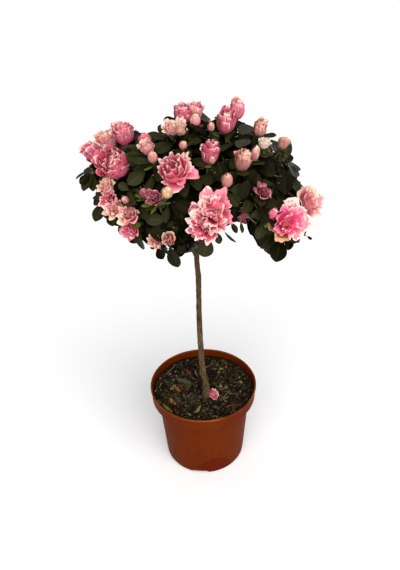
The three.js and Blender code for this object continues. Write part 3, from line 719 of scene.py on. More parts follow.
@dataclass
class Pot:
    """A thin plastic nursery pot with a deep rim band, a shoulder under it and notches round its foot."""

    rim_radius: float = 75
    height: float = 126
    band_height: float = 18
    band_taper: float = 1
    lip: float = 0.6
    shoulder_radius: float = 65.7
    base_radius: float = 57.9
    heel_height: float = 4
    heel_inset: float = 3.5
    wall: float = 1.6
    floor: float = 2.2
    sides: int = 192
    longest_stretch: float = 2.5
    notches: int = 4
    first_notch: float = math.radians(-98)
    notch_half: float = 10.5
    notch_height: float = 5
    notch_reach: float = 9
    # The streaks that the mould left: their bearings in degrees and their widths in radians.
    streak_bearings: tuple[float, ...] = (-118, -109, -101, -94, 30, 150)
    streak_widths: tuple[float, ...] = (0.035, 0.03, 0.04, 0.03, 0.04, 0.035)
    streak_depth: float = 0.7
    panel_bearing: float = math.radians(-77)
    panel_half: float = 0.42
    panel_height: float = 33
    panel_bend: float = 16
    panel_depth: float = 0.5
    finish: PlasticFinish = field(default_factory=PlasticFinish)

    def strips(self) -> list[list[Span]]:
        """Return the wall's outline as radius and height, cut into strips at its sharp corners."""
        rim, top = self.rim_radius, self.height
        foot = top - self.band_height
        band = rim - self.band_taper
        base, shoulder = self.base_radius, self.shoulder_radius
        heel = base - self.heel_inset
        runs = [
            [(30, 0.5), (heel - 8, 0.5)],
            [(heel - 6, 0)],
            [(heel, 0)],
            [
                (base - 1.3, 1.4),
                (base, self.heel_height),
                (base + 1.6, 25),
                (between(base, shoulder, 0.55), 60),
                (between(base, shoulder, 0.9), 96),
                (shoulder - 0.4, foot - 13),
                (shoulder + 0.6, foot - 8),
                (shoulder + 2.4, foot - 4),
                (shoulder + 5, foot - 1.3),
                (shoulder + 7.4, foot),
            ],
            [(band, foot)],
            [(rim - 0.3, top - 5), (rim, top - 2.6)],
            [
                (rim + self.lip, top - 1.7),
                (rim + self.lip, top - 0.8),
                (rim + 0.2, top - 0.15),
                (rim - 0.5, top),
                (rim - self.wall + 0.2, top - 0.2),
                (rim - self.wall - 0.05, top - 1.2),
            ],
            [
                (band - self.wall, foot + self.wall),
                (shoulder - self.wall, foot - 1),
                (base - self.wall, self.heel_height + 0.5),
                (heel - self.wall, self.floor),
                (0.01, self.floor),
            ],
        ]
        starts = [(0.01, 0.5), *(run[-1] for run in runs)]
        return [[start, *run] for start, run in zip(starts, runs)]

    def build(self) -> None:
        """Turn the outline, raise the notches and press the mould's marks into the lower wall."""
        angles = even_turn(self.sides)
        materials = [self.finish.material("pot_plastic"), self.finish.material("pot_lip_plastic", True)]
        maker = MeshMaker("pot_shell", materials, "pot")
        strips = self.strips()
        lip = len(strips) - 2
        for number, strip in enumerate(strips):
            is_outside = number < lip
            rings = []
            for radius, height in self._finer(strip):
                is_wall = is_outside and radius > self.base_radius - 2
                is_foot = is_outside and radius >= self.base_radius - self.notch_reach
                reach = radius - (self._pressed(angles, height) if is_wall else 0)
                raised = self._raised(angles, height) if is_foot else np.zeros(self.sides)
                ring = [reach * np.cos(angles), reach * np.sin(angles), height + raised]
                rings.append(np.stack(ring, axis=1))
            maker.add_grid(np.array(rings), int(number == lip), is_ring=True)
        maker.build("pot")

    def _pressed(self, angles: Array, height: float) -> Array:
        """Return how far the wall is pressed in by the marks of its mould at a height."""
        low = float(smooth(58, 20, height)) * float(smooth(2, 8, height))
        streaks = np.zeros(len(angles))
        for bearing, width in zip(self.streak_bearings, self.streak_widths):
            streaks += np.exp(-((apart_by_turn(angles, math.radians(bearing)) / width) ** 2))
        half = self.panel_half
        away = np.abs(apart_by_turn(angles, self.panel_bearing))
        edge = self.panel_height - self.panel_bend * (away / half) ** 2
        panel = smooth(edge + 1.2, edge - 1.2, height) * smooth(half + 0.02, half - 0.02, away)
        panel = panel * float(smooth(1.5, 4.5, height))
        return self.streak_depth * low * streaks + self.panel_depth * panel

    def _finer(self, outline: list[Span]) -> list[Span]:
        """Cut an outline's long stretches into shorter ones."""
        finer = [outline[0]]
        for start, end in zip(outline, outline[1:]):
            parts = max(1, math.ceil(math.dist(start, end) / self.longest_stretch))
            for share in (part / parts for part in range(1, parts + 1)):
                finer.append((between(start[0], end[0], share), between(start[1], end[1], share)))
        return finer

    def _raised(self, angles: Array, height: float) -> Array:
        """Return how far the foot is raised in its notches at each angle."""
        raised = np.zeros(len(angles))
        for bearing in self.first_notch + even_turn(self.notches):
            away = np.abs(apart_by_turn(angles, bearing)) * self.base_radius
            share = smooth(self.notch_half + 1.2, self.notch_half - 1.2, away)
            raised = np.maximum(raised, share * max(self.notch_height - height, 0))
        return raised


# The soil and what lies on it


@dataclass
class Litter:
    """A thing that lies on the soil, as it is seen: from and to, its width and its colour."""

    start: Pixel
    end: Pixel
    width: float
    dress: int
    curl: float = 0.15


class LitterColour(Enum):
    """Colours of what lies on the soil."""

    GREY_GREEN = (0.06, 0.06, 0.03)
    GREEN = (0.02, 0.034, 0.006)
    ORANGE = (0.17, 0.062, 0.008)
    RUST = (0.075, 0.026, 0.005)
    YELLOW_GREEN = (0.15, 0.125, 0.018)
    STRAW = (0.2, 0.13, 0.055)
    FIBRE = (0.14, 0.115, 0.065)


GREY_GREEN, GREEN, ORANGE, RUST, YELLOW_GREEN, STRAW, FIBRE = range(len(LitterColour))
SOIL_LITTER = [
    Litter((176, 379), (195, 389), 11, GREY_GREEN, 0.1),
    Litter((165, 380), (175, 390), 10, GREEN, 0.1),
    Litter((170, 391), (174, 388), 4, ORANGE),
    Litter((174, 387), (181, 392), 4.5, ORANGE),
    Litter((185, 386), (188, 391), 3.5, RUST),
    Litter((169, 399), (176, 405), 6, ORANGE),
    Litter((170, 400), (176, 402), 3, STRAW),
    Litter((201, 406), (196, 414), 3.5, YELLOW_GREEN),
    Litter((162, 405), (172, 413), 3, YELLOW_GREEN, 0.05),
    Litter((212, 417), (223, 418), 3, YELLOW_GREEN, 0.1),
    Litter((164, 377), (175, 366), 1.4, FIBRE, 0.02),
    Litter((202, 398), (206, 402), 6.5, GREEN),
    Litter((219, 402), (229, 397), 3.5, GREY_GREEN, 0.05),
    Litter((222, 399), (230, 391), 1.2, STRAW, 0.05),
    Litter((239, 391), (242, 395), 2.4, STRAW),
    Litter((225, 370), (229, 364), 4, ORANGE),
    Litter((219, 371), (223, 369), 3.4, STRAW),
    Litter((234, 376), (239, 375), 4, RUST),
    Litter((233, 384), (239, 378), 2.6, ORANGE),
    Litter((215, 384), (219, 391), 2.6, RUST),
    Litter((220, 391), (226, 388), 2.4, ORANGE),
    Litter((195, 371), (198, 383), 4, YELLOW_GREEN, 0.3),
    Litter((160, 388), (162, 381), 2.2, YELLOW_GREEN),
    Litter((158, 393), (162, 390), 2.0, GREY_GREEN),
    Litter((175, 409), (178, 414), 5, RUST),
    Litter((221, 406), (227, 402), 3.4, RUST),
    Litter((186, 370), (191, 376), 5, RUST),
]


@dataclass
class Soil:
    """Lumpy moist peat with crumbs, fibres, fallen leaves and one spent bloom."""

    top: float = 115
    radius: float = 71.8
    depth: float = 5.5
    rings: int = 110
    spokes: int = 220
    lump: float = 1.6
    stem_foot: Span = (5, -14)
    crumbs: int = 2000
    crumb_size: Span = (0.7, 2.3)
    fibres: int = 380
    fibre_length: Span = (4, 13)
    fibre_radius: Span = (0.12, 0.3)
    fibre_bend: float = 0.6
    flakes: int = 190
    flake_length: Span = (2, 7)
    thinnest_leaf: float = 1.5
    tangle_px: Pixel = (187, 401)
    tangle_spread: Span = (9, 8)
    crumb_colours: tuple[Colour, ...] = (
        (0.002, 0.0012, 0.0006),
        (0.016, 0.009, 0.0035),
        (0.055, 0.036, 0.013),
        (0.16, 0.14, 0.075),
    )
    crumb_shares: tuple[float, ...] = (0.5, 0.33, 0.14, 0.03)
    finish: MatterFinish = PEAT
    litter_finish: SoftFinish = SoftFinish(roughness=0.6, specular=0.12)

    def height(self, x: float, y: float) -> float:
        """Return the soil's height at a place."""
        from_stem = math.hypot(x - self.stem_foot[0], y - self.stem_foot[1])
        share = float(smooth(24, 40, from_stem))
        share *= float(smooth(self.radius, self.radius - 6, math.hypot(x, y)))
        lumps = math.sin(x * 0.21 + 1.3) * math.cos(y * 0.17 - 0.4) + 0.6 * math.sin(x * 0.09 - y * 0.26)
        coarse = noise.noise(Vector((x, y, 3)) * 0.16)
        fine = noise.noise(Vector((x, y, 9)) * 0.45)
        return self.top + share * self.lump * lumps * 0.7 + 1.5 * coarse + 0.9 * fine

    def build(self) -> None:
        """Make the soil, its crumbs and fibres, and the litter on it."""
        self._build_ground()
        self._build_crumbs()
        self._build_litter()

    def _on(self, x: float, y: float, over: float = 0.0) -> Array:
        """Return the place on the soil, or over it, at an x and a y."""
        return point(x, y, self.height(x, y) + over)

    def _build_ground(self) -> None:
        """Make the soil's top, with a short skirt down the inside of the pot."""
        angles = even_turn(self.spokes)
        rows = []
        for reach in np.linspace(0.004, 1, self.rings) * self.radius:
            rows.append([self._on(reach * math.cos(angle), reach * math.sin(angle)) for angle in angles])
        skirt = [(x, y, self.top - self.depth) for x, y, _ in rows[-1]]
        maker = MeshMaker("soil_bed", [self.finish.material("peat")], "soil")
        maker.add_grid(np.array([*rows, skirt]), is_ring=True)
        maker.build("soil")

    def _build_crumbs(self) -> None:
        """Scatter crumbs and fibres over the soil."""
        draw = np.random.default_rng(SEED)
        materials = []
        for i, colour in enumerate(self.crumb_colours):
            materials.append(SoftFinish(colour, 0.9, 0.2, grain_depth=0.3).material(f"crumb_{i}"))
        maker = MeshMaker("soil_crumbs", materials, "soil")
        corners, faces = self._lump()
        for _ in range(self.crumbs):
            x, y = self._spot(draw)
            size = draw.uniform(*self.crumb_size) * draw.choice([1, 1, 1, 1.6])
            shape = corners * draw.uniform(0.7, 1.3, (len(corners), 1)) * size * draw.uniform(0.5, 1.1, 3)
            spin = np.array(Matrix.Rotation(draw.uniform(0, 6.3), 3, "Z"))
            dress = int(draw.choice(len(materials), p=self.crumb_shares))
            maker.add(shape @ spin.T + self._on(x, y, 0.25 * size), faces, dress)
        tangle = self._ground_at(self.tangle_px)
        for number in range(self.fibres):
            x, y = self._spot(draw)
            if number % 4 == 0:
                x, y = draw.normal(tangle[:2], self.tangle_spread)
            bearing, length = draw.uniform(0, 6.3), draw.uniform(*self.fibre_length)
            bend = draw.uniform(-self.fibre_bend, self.fibre_bend)
            middles = []
            for share in np.linspace(-0.5, 0.5, 7):
                turn = bearing + bend * share
                at = (x + share * length * math.cos(turn), y + share * length * math.sin(turn))
                middles.append(self._on(*at, 0.8 + 1.2 * (0.25 - share**2)))
            if max(math.hypot(*middle[:2]) for middle in middles) <= self.radius - 2:
                radii = np.full(len(middles), draw.uniform(*self.fibre_radius))
                maker.add_tube(np.array(middles), radii, 4, int(draw.choice([2, 2, 3])))
        maker.build(is_smooth=False)

    def _add_flakes(self, maker: MeshMaker) -> None:
        """Scatter small flakes of leaf and bark among the crumbs."""
        draw = np.random.default_rng(SEED + 1)
        colours = [GREY_GREEN, ORANGE, RUST, RUST, RUST, STRAW, FIBRE, GREEN]
        for _ in range(self.flakes):
            x, y = self._spot(draw)
            bearing = draw.uniform(0, 6.3)
            way = unit(point(math.cos(bearing), math.sin(bearing), draw.uniform(-0.1, 0.35)))
            face = square_part(UP + point(*draw.uniform(-0.5, 0.5, 2), 0), way)
            length = draw.uniform(*self.flake_length)
            width = length * draw.uniform(0.25, 0.7)
            flake = Blade(self._on(x, y, 0.8), way, face, length, width, 0.1, 0.1)
            maker.add_grid(flake.places(), int(draw.choice(colours)))

    def _spot(self, draw: np.random.Generator) -> tuple[float, float]:
        """Return a chance place on the soil, away from the wall."""
        while True:
            x, y = draw.uniform(-self.radius, self.radius, 2)
            if math.hypot(x, y) < self.radius - 3:
                return float(x), float(y)

    @staticmethod
    def _lump() -> tuple[Array, Array]:
        """Return the corners and the faces of a lump with twenty faces."""
        golden = (1 + math.sqrt(5)) / 2
        corners = []
        for a, b in itertools.product((-1, 1), (-golden, golden)):
            corners.extend([(0, a, b), (a, b, 0), (b, 0, a)])
        places = unit(np.array(corners, float))
        apart = np.linalg.norm(places[:, None] - places[None], axis=2)
        faces = []
        for i, j, k in itertools.combinations(range(len(places)), 3):
            if max(apart[i, j], apart[j, k], apart[i, k]) < 1.1:
                outward = np.cross(places[j] - places[i], places[k] - places[i]) @ places[i]
                faces.append((i, j, k) if outward > 0 else (i, k, j))
        return places, np.array(faces)

    def _build_litter(self) -> None:
        """Lay the fallen leaves, flakes and sticks on the soil."""
        materials = in_colours("litter", LitterColour, self.litter_finish)
        maker = MeshMaker("soil_litter", materials, "soil")
        self._add_flakes(maker)
        for piece in SOIL_LITTER:
            start, end = self._ground_at(piece.start), self._ground_at(piece.end)
            length = length_of(end - start)
            if piece.width < self.thinnest_leaf:
                middles = np.linspace(start, end, 5) + point(0, 0, 0.8)
                maker.add_tube(middles, np.linspace(0.9, 0.5, 5) * piece.width / 1.4, 5, piece.dress)
                continue
            way = (end - start) / length
            face = unit(UP - 0.45 * VIEW.ahead + 0.2 * point(math.sin(length), math.cos(3 * length), 0))
            face = square_part(face, way)
            blade = Blade(start + UP * 2.2, way, face, length, piece.width * 1.25, arch=piece.curl, cup=0.1)
            maker.add_grid(blade.places(), piece.dress)
        maker.build()

    def _ground_at(self, px: Pixel) -> Array:
        """Return the place on the soil that shows at a pixel, kept inside the pot."""
        place = VIEW.at_height(px, self.top)
        for _ in range(4):
            place = VIEW.at_height(px, self.height(place[0], place[1]))
        reach = math.hypot(place[0], place[1])
        if reach > self.radius - 3:
            place[:2] *= (self.radius - 3) / reach
        return place


# Leaves


@dataclass(eq=False)
class Blade:
    """One leaf: where it is rooted, the way it runs, the way its face looks, and its size."""

    root: Array
    way: Array
    face: Array
    length: float
    width: float
    arch: float = 0.14
    cup: float = 0.16
    twist: float = 0.0
    wave: float = 0.0
    is_simple: bool = False

    ALONG = np.array([0.0, 0.05, 0.15, 0.3, 0.46, 0.62, 0.77, 0.89, 0.965, 1.0])
    ASIDE = np.array([-1.0, -0.55, -0.09, 0.09, 0.55, 1.0])
    FEW_ALONG = np.array([0.0, 0.1, 0.4, 0.72, 0.93, 1.0])
    FEW_ASIDE = np.array([-1.0, -0.09, 0.09, 1.0])
    PETIOLE = 0.09

    def places(self) -> Array:
        """Return the blade's places, by row from root to tip and by column from side to side."""
        side = np.cross(self.face, self.way)
        along = (self.FEW_ALONG if self.is_simple else self.ALONG)[:, None]
        grown = np.clip((along - 0.04) / 0.96, 0, 1)
        half = np.maximum(np.sin(math.pi * grown**1.3) ** 0.62, self.PETIOLE) * self.width / 2
        aside = (self.FEW_ASIDE if self.is_simple else self.ASIDE)[None, :]
        angle = self.twist * along
        folded = (aside**2 + np.abs(aside)) / 2
        lift = -self.arch * self.length * along**2 - self.cup * half * folded
        lift = lift - 0.06 * half * (np.abs(aside) < 0.2) + half * aside * np.sin(angle)
        lift = lift + self.wave * half * aside**2 * np.sin(9 * along + 3 * self.twist + 2 * np.sign(aside))
        reach = self.length * (along + 0 * aside)
        spread = half * aside * np.cos(angle)
        return (
            self.root
            + reach[..., None] * self.way
            + spread[..., None] * side
            + lift[..., None] * self.face
        )

    def outline(self) -> Array:
        """Return a few places on the blade that say where it lies."""
        places = self.places()
        middle = places.shape[1] // 2
        low, high = len(places) // 3, 3 * len(places) // 4
        spots = ((low, 0), (low, -1), (high, 0), (high, -1), (-1, middle), (low, middle), (high, middle))
        return np.stack([places[row, column] for row, column in spots])


class LeafShade(Enum):
    """The leaves' plain colours, each with its rib's: painted shade, painted light and the young leaves'
    own.
    """

    # DEEP and DARK are painted shade: darker colours for leaves inside the crown and low down.
    DEEP = ((0.0018, 0.0018, 0.0006), (0.003, 0.0032, 0.001))
    DARK = ((0.0032, 0.0031, 0.0009), (0.006, 0.0063, 0.0018))
    # OLIVE is the middle step between the painted shade and the painted light.
    OLIVE = ((0.0066, 0.0063, 0.0017), (0.012, 0.0124, 0.0033))
    # SOFT is painted light and sheen, for leaves near the outside and the top, and for leaves that stand
    # out.
    SOFT = ((0.021, 0.0207, 0.0068), (0.034, 0.036, 0.0115))
    YOUNG = ((0.015, 0.019, 0.0026), (0.028, 0.035, 0.005))
    FRESH = ((0.072, 0.098, 0.012), (0.1, 0.135, 0.019))


class Foliage:
    """Gathers leaves, each in one colour with its rib in that colour's own."""

    SHEEN = (0.9, 0.9, 0.55)

    def __init__(self) -> None:
        """Make the materials, with no leaf yet."""
        materials = []
        for shade in LeafShade:
            for part, colour, roughness in zip(("", "rib_"), shade.value, (0.38, 0.5)):
                finish = SoftFinish(colour, roughness, 0.1, sheen=self.SHEEN)
                materials.append(finish.material(f"leaf_{part}{shade.name.lower()}"))
        self.pieces = Pieces((f"leaves_{number}" for number in itertools.count(1)), materials, "foliage")

    def add(self, blade: Blade, shade: LeafShade) -> None:
        """Add one leaf in one colour."""
        first = 2 * list(LeafShade).index(shade)
        places = blade.places()
        dress = np.full((places.shape[0] - 1, places.shape[1] - 1), first)
        dress[:, dress.shape[1] // 2] = first + 1
        self.pieces.last().add_grid(places, dress)


# The dome and the tips on it


class BloomKind(Enum):
    """How far a bloom is open."""

    BUD = "bud"
    HALF = "half"
    OPEN = "open"


class Tint(Enum):
    """The colours of a bloom, from its heart to its petals' rims."""

    BRIGHT = ("vivid", "vivid", "blush", "rim")
    ROSE = ("deep", "pink", "pink", "rim")
    SOFT = ("pink", "pink", "blush", "rim")
    BLUSHED = ("blush", "blush", "pale", "ivory")
    PEACH = ("blush", "peach", "cream", "ivory")
    CREAM = ("cream", "cream", "cream", "ivory")
    WHITE = ("ivory", "rim", "milk", "milk")
    SHADED = ("shade", "dusk", "dusk", "blush")
    # MUTED paints shade on a bloom's heart and body with a darker pink.
    MUTED = ("muted", "muted", "pink", "rim")
    SALMON = ("salmon", "salmon", "peach", "ivory")
    CREAMY = ("pale", "pale", "ivory", "rim")


class Form(Enum):
    """How a bloom's petals are arranged."""

    WRAPPED = "wrapped"
    BARREL = "barrel"
    CUP = "cup"
    GLOBE = "globe"
    ROSE = "rose"
    FACE = "face"
    FRILLED = "frilled"
    RUFFLED = "ruffled"


USUAL_FORM = {BloomKind.BUD: Form.WRAPPED, BloomKind.HALF: Form.BARREL, BloomKind.OPEN: Form.FACE}


@dataclass(frozen=True)
class Bloom:
    """A bloom's kind, size, tint and form, how many of its petals are papery, and its tilt right and up."""

    kind: BloomKind
    width: float
    height: float
    tint: Tint = Tint.ROSE
    form: Optional[Form] = None
    papery: int = 0
    tilt: Span = (0, 0)

    @property
    def shape(self) -> Form:
        """Return the form that is given, or the usual one of its kind."""
        return self.form or USUAL_FORM[self.kind]


@dataclass(eq=False)
class Tip:
    """The end of a twig: its place, the way it points, and the bloom it carries, if any."""

    at: Array
    out: Array
    bloom: Optional[Bloom] = None
    index: int = 0
    mass: int = 0
    inside: float = 0.0
    leaf: Optional[Blade] = None

    @property
    def middle(self) -> Array:
        """Return the bloom's middle, or the tip's place where there is none."""
        return self.at + self.out * (self.bloom.height / 2) if self.bloom else self.at

    @property
    def end(self) -> Array:
        """Return where its twig ends: in the whorl, or some way up inside the bloom."""
        return self.at + self.out * (0.2 * self.bloom.height) if self.bloom else self.at

    def side(self, bearing: float) -> Array:
        """Return the direction at a bearing round the tip, square to the way it points."""
        across, back = square_to(self.out)
        return across * math.cos(bearing) + back * math.sin(bearing)


FIRST_FINE = 1000  # the index of the first finer tip
B, H, O = BloomKind.BUD, BloomKind.HALF, BloomKind.OPEN
SHOWN_BLOOMS: list[tuple[Pixel, Bloom]] = [
    ((93.5, 152), Bloom(H, 22, 26, Tint.MUTED, tilt=(-0.3, 0))),
    ((108, 140), Bloom(H, 24, 24, Tint.BLUSHED, Form.CUP)),
    ((124, 134), Bloom(H, 23, 28, Tint.ROSE, Form.CUP)),
    ((113.5, 163), Bloom(O, 32, 36, Tint.ROSE, Form.GLOBE, tilt=(-0.1, 0.1))),
    ((144.5, 140), Bloom(B, 15, 16, Tint.MUTED)),
    ((147, 148), Bloom(H, 16, 15, Tint.BLUSHED, Form.CUP)),
    ((171, 129), Bloom(H, 18, 17, Tint.CREAMY, Form.RUFFLED)),
    ((180, 128), Bloom(H, 18, 18, Tint.CREAMY, Form.RUFFLED)),
    ((182.5, 114), Bloom(H, 19, 21, Tint.MUTED)),
    ((194.5, 112), Bloom(H, 20, 21, Tint.SOFT, Form.CUP)),
    ((195, 120), Bloom(B, 12, 14, Tint.PEACH)),
    ((173, 169), Bloom(O, 33, 28, Tint.SOFT, Form.ROSE, tilt=(-0.15, 0.25))),
    ((106, 186), Bloom(H, 19, 18, Tint.CREAMY, Form.RUFFLED)),
    ((108, 198), Bloom(O, 18, 15, Tint.ROSE, Form.RUFFLED)),
    ((115, 208), Bloom(H, 20, 18, Tint.BLUSHED, Form.RUFFLED, tilt=(-0.2, 0))),
    ((129, 215), Bloom(H, 21, 18, Tint.BLUSHED, Form.RUFFLED, tilt=(0.2, 0.2))),
    ((131, 230), Bloom(H, 18, 18, Tint.ROSE, Form.RUFFLED, tilt=(-0.1, -0.3))),
    ((155, 198), Bloom(H, 16, 14, Tint.SHADED, Form.RUFFLED)),
    ((167, 192), Bloom(B, 12, 14, Tint.CREAM)),
    ((156, 241), Bloom(H, 16, 15, Tint.BLUSHED, Form.RUFFLED)),
    ((169, 239), Bloom(H, 13, 16, Tint.BLUSHED, Form.CUP)),
    ((237.5, 109), Bloom(H, 18, 24, Tint.SOFT)),
    ((226, 121), Bloom(H, 22, 28, Tint.MUTED, papery=1)),
    ((260, 127.5), Bloom(H, 16, 20, Tint.SALMON, papery=1)),
    ((264, 143.5), Bloom(H, 13, 12, Tint.WHITE, Form.CUP)),
    ((283, 143), Bloom(H, 13, 15, Tint.SALMON, Form.CUP)),
    ((210, 152), Bloom(H, 19, 27, Tint.MUTED)),
    ((243, 160), Bloom(H, 16.5, 26, Tint.SALMON)),
    ((227, 180), Bloom(B, 12, 17, Tint.SALMON)),
    ((264, 192), Bloom(H, 17, 16, Tint.SHADED, Form.RUFFLED)),
    ((216, 213), Bloom(O, 37, 30, Tint.SOFT, Form.FRILLED, tilt=(0.2, 0.1))),
    ((206, 225), Bloom(O, 36, 28, Tint.ROSE, Form.FRILLED, tilt=(-0.25, 0))),
    ((289, 223), Bloom(O, 42, 31, Tint.BRIGHT, Form.FACE, 2)),
    ((312, 201), Bloom(O, 38, 28, Tint.BLUSHED, Form.FACE, 1, (0.5, 0.4))),
]
SMALL_BUDS: list[tuple[Pixel, Bloom]] = [
    ((152.5, 157), Bloom(B, 11, 13, Tint.SALMON)),
    ((144, 193), Bloom(B, 10, 13, Tint.SHADED)),
    ((255, 154), Bloom(B, 10, 19, Tint.SALMON)),
    ((183, 145), Bloom(B, 9, 9, Tint.SALMON)),
    ((125, 200), Bloom(B, 7.5, 11, Tint.SALMON)),
    ((193, 210), Bloom(B, 7.5, 9, Tint.SOFT)),
    ((211, 127), Bloom(B, 8, 11, Tint.SALMON)),
    ((212, 160), Bloom(B, 7, 9, Tint.SALMON)),
    ((273, 213), Bloom(B, 9, 16)),
]
SHOWN_WHORLS: list[Pixel] = [
    (93, 171), (102, 204), (115, 216), (137, 230), (163, 241), (177, 246), (205, 236), (243, 214),
    (256, 223), (267, 235), (279, 240), (300, 190), (291, 183), (289, 164), (281, 176), (268, 172),
    (272, 215), (282, 157), (270, 136), (245, 190), (92, 180), (110, 176), (140, 176), (246, 128),
    (205, 122), (160, 133),
]  # fmt: skip
# Leaves that stand out in the photograph, as root, tip and width.
SHOWN_LEAVES: list[tuple[Pixel, Pixel, float]] = [
    ((91, 169), (75.5, 178.5), 2), ((90, 173), (80, 184), 8), ((92, 174), (83, 190.5), 9),
    ((93, 174), (93, 191), 9), ((96, 171), (101, 189), 9), ((103, 196), (94, 205), 8),
    ((104, 202), (95, 221), 12), ((110, 212), (113, 226), 11), ((119, 224), (124, 235), 8),
    ((127, 234), (136, 243), 8), ((138, 231), (142, 250), 8), ((157, 248), (163, 259), 10),
    ((170, 246), (177, 268), 13), ((180, 243), (182, 254), 9), ((174, 143), (153, 152), 12),
    ((166, 140), (147, 133), 8), ((180, 123), (164, 120), 8), ((166, 132), (158, 126), 9),
    ((174, 150), (191, 156), 12), ((186, 142.5), (201, 141), 7), ((192, 159), (206, 165), 10),
    ((146, 170), (128, 184), 14), ((152, 176), (148, 193), 9), ((156, 166), (160, 180), 9),
    ((174, 202), (192, 211), 13), ((168, 202), (156, 206), 9), ((168, 205), (165.5, 223), 8),
    ((167, 220), (145, 219), 13), ((190, 172), (199, 190), 11), ((183, 178), (186, 196), 11),
    ((130, 190), (118, 184), 9), ((139, 205), (148, 219), 10), ((238, 136), (251, 124), 14),
    ((264, 136), (276.5, 135), 5), ((268, 139), (275.5, 149), 6), ((284, 160), (290.5, 139), 9),
    ((282, 160), (280, 148), 9), ((290, 161), (299, 170), 3), ((291, 163), (295.5, 175), 7),
    ((283, 167), (286, 192.5), 18), ((291, 174), (297, 190), 10), ((222, 167), (209, 181), 14),
    ((226, 160), (237, 167), 10), ((229, 190), (247, 189), 12), ((228, 193), (238, 206), 12),
    ((249, 217), (267.5, 211), 11), ((270, 197), (275, 207), 8), ((231, 222), (237, 233), 6),
    ((240.5, 222), (242.5, 233), 4), ((224, 231), (236, 243), 3), ((207, 234), (204, 258), 18),
    ((217, 232), (219.5, 244), 8), ((265, 222), (257, 239), 11), ((276, 231), (261, 248), 13),
    ((281, 239), (276, 261.5), 18), ((291, 236), (288, 250), 9), ((307, 236), (312, 239.5), 3),
    ((209, 118), (198, 116), 9), ((230, 143), (222, 150), 8), ((248, 139), (239, 146), 10),
    ((262, 165), (272, 176), 11), ((200, 176), (212, 183), 11), ((252, 176), (262, 183), 10),
    ((252, 199), (245, 212), 11),
]  # fmt: skip
# The crown's edge in the photograph, clockwise from the far left. No leaf reaches past it.
EDGE_PX = np.array([
    (75, 178), (84, 147), (106, 129), (124, 122), (140, 131), (152, 131), (160, 124), (180, 104),
    (200, 102), (212, 115), (222, 106), (236, 97), (247, 104), (254, 121), (270, 128), (290, 139),
    (300, 168), (314, 192), (325, 214), (312, 238), (292, 252), (276, 262), (264, 252), (252, 234),
    (240, 224), (228, 236), (214, 244), (206, 258), (190, 256), (174, 267), (160, 259), (142, 250),
    (124, 236), (96, 222), (86, 192),
], float)  # fmt: skip


def is_inside_edge(places: Array, inset: float = 0) -> Array:
    """Say for each place whether it shows inside the crown's edge.

    Args:
        places: The places, one row each.
        inset: How many pixels the edge is drawn in.

    Returns:
        True or False for each.
    """
    seen = VIEW.seen_at(places)
    edge = EDGE_PX + inset * unit(EDGE_PX.mean(axis=0) - EDGE_PX)
    inside = np.zeros(len(seen), bool)
    for start, end in zip(edge, np.roll(edge, -1, axis=0)):
        crosses = (start[1] > seen[:, 1]) != (end[1] > seen[:, 1])
        if start[1] == end[1]:
            continue
        edge_x = start[0] + (seen[:, 1] - start[1]) * (end[0] - start[0]) / (end[1] - start[1])
        inside ^= crosses & (seen[:, 0] < edge_x)
    return inside


@dataclass
class Dome:
    """The low dome, tipped a little to the right, on which the twigs end."""

    middle: Triple = (5, 0, 428)
    right: float = 118
    back: float = 112
    up: float = 72
    tipped: float = math.radians(9)
    lowest: float = -0.74
    core_share: float = 0.68
    hollow_middle: Triple = (1, -3, 368)
    hollow_radius: float = 57
    hollow_height: float = 63
    nearest: float = 400
    farthest: float = 900

    @property
    def turn(self) -> Array:
        """Return the matrix that tips the dome."""
        return np.array(Matrix.Rotation(self.tipped, 3, "Y"))

    def axes(self, out: float = 0) -> Array:
        """Return the dome's half sizes, grown by a distance."""
        return point(self.right + out, self.back + out, self.up + out)

    def on(self, bearing: float, cosine: float, out: float = 0) -> Array:
        """Return the place at a bearing and the cosine of a polar angle, out of the dome by a distance."""
        sine = math.sqrt(1 - cosine * cosine)
        local = point(sine * math.cos(bearing), sine * math.sin(bearing), cosine) * self.axes(out)
        return self.turn @ local + point(*self.middle)

    def level(self, places: Array, out: float = 0) -> Array:
        """Return how far out places lie: under 1 inside the dome, 1 on it."""
        local = (places - point(*self.middle)) @ self.turn
        return np.linalg.norm(local / self.axes(out), axis=-1)

    def outward(self, place: Array) -> Array:
        """Return the dome's outward direction at a place."""
        local = (place - point(*self.middle)) @ self.turn
        return unit(self.turn @ (local / self.axes() ** 2))

    def seen(self, px: Pixel, out: float) -> Array:
        """Return where a pixel's line of sight first meets the dome, or passes nearest to it."""
        places = VIEW.place + VIEW.line(px) * np.arange(self.nearest, self.farthest)[:, None]
        levels = self.level(places, out)
        met = np.flatnonzero(levels <= 1)
        return places[met[0] if len(met) else int(levels.argmin())]

    def is_in_core(self, place: Array) -> bool:
        """Say whether a place lies in the dense part of the crown, outside the hollow round the boughs."""
        half = point(self.hollow_radius, self.hollow_radius, self.hollow_height)
        in_hollow = length_of((place - point(*self.hollow_middle)) / half) < 1
        return float(self.level(place)) < self.core_share and not in_hollow


@dataclass(eq=False)
class Mass:
    """A mass of foliage: its name, its place on the dome, and how far over the fork its bough leaves."""

    name: str
    bearing: float
    cosine: float
    leaves: Optional[float] = None
    seat: Array = field(default_factory=lambda: np.zeros(3))
    foot: Array = field(default_factory=lambda: np.zeros(3))
    away: Array = field(default_factory=lambda: UP.copy())
    foot_radius: float = 2.6
    tips: list[Tip] = field(default_factory=list)
    fine_tips: list[Tip] = field(default_factory=list)


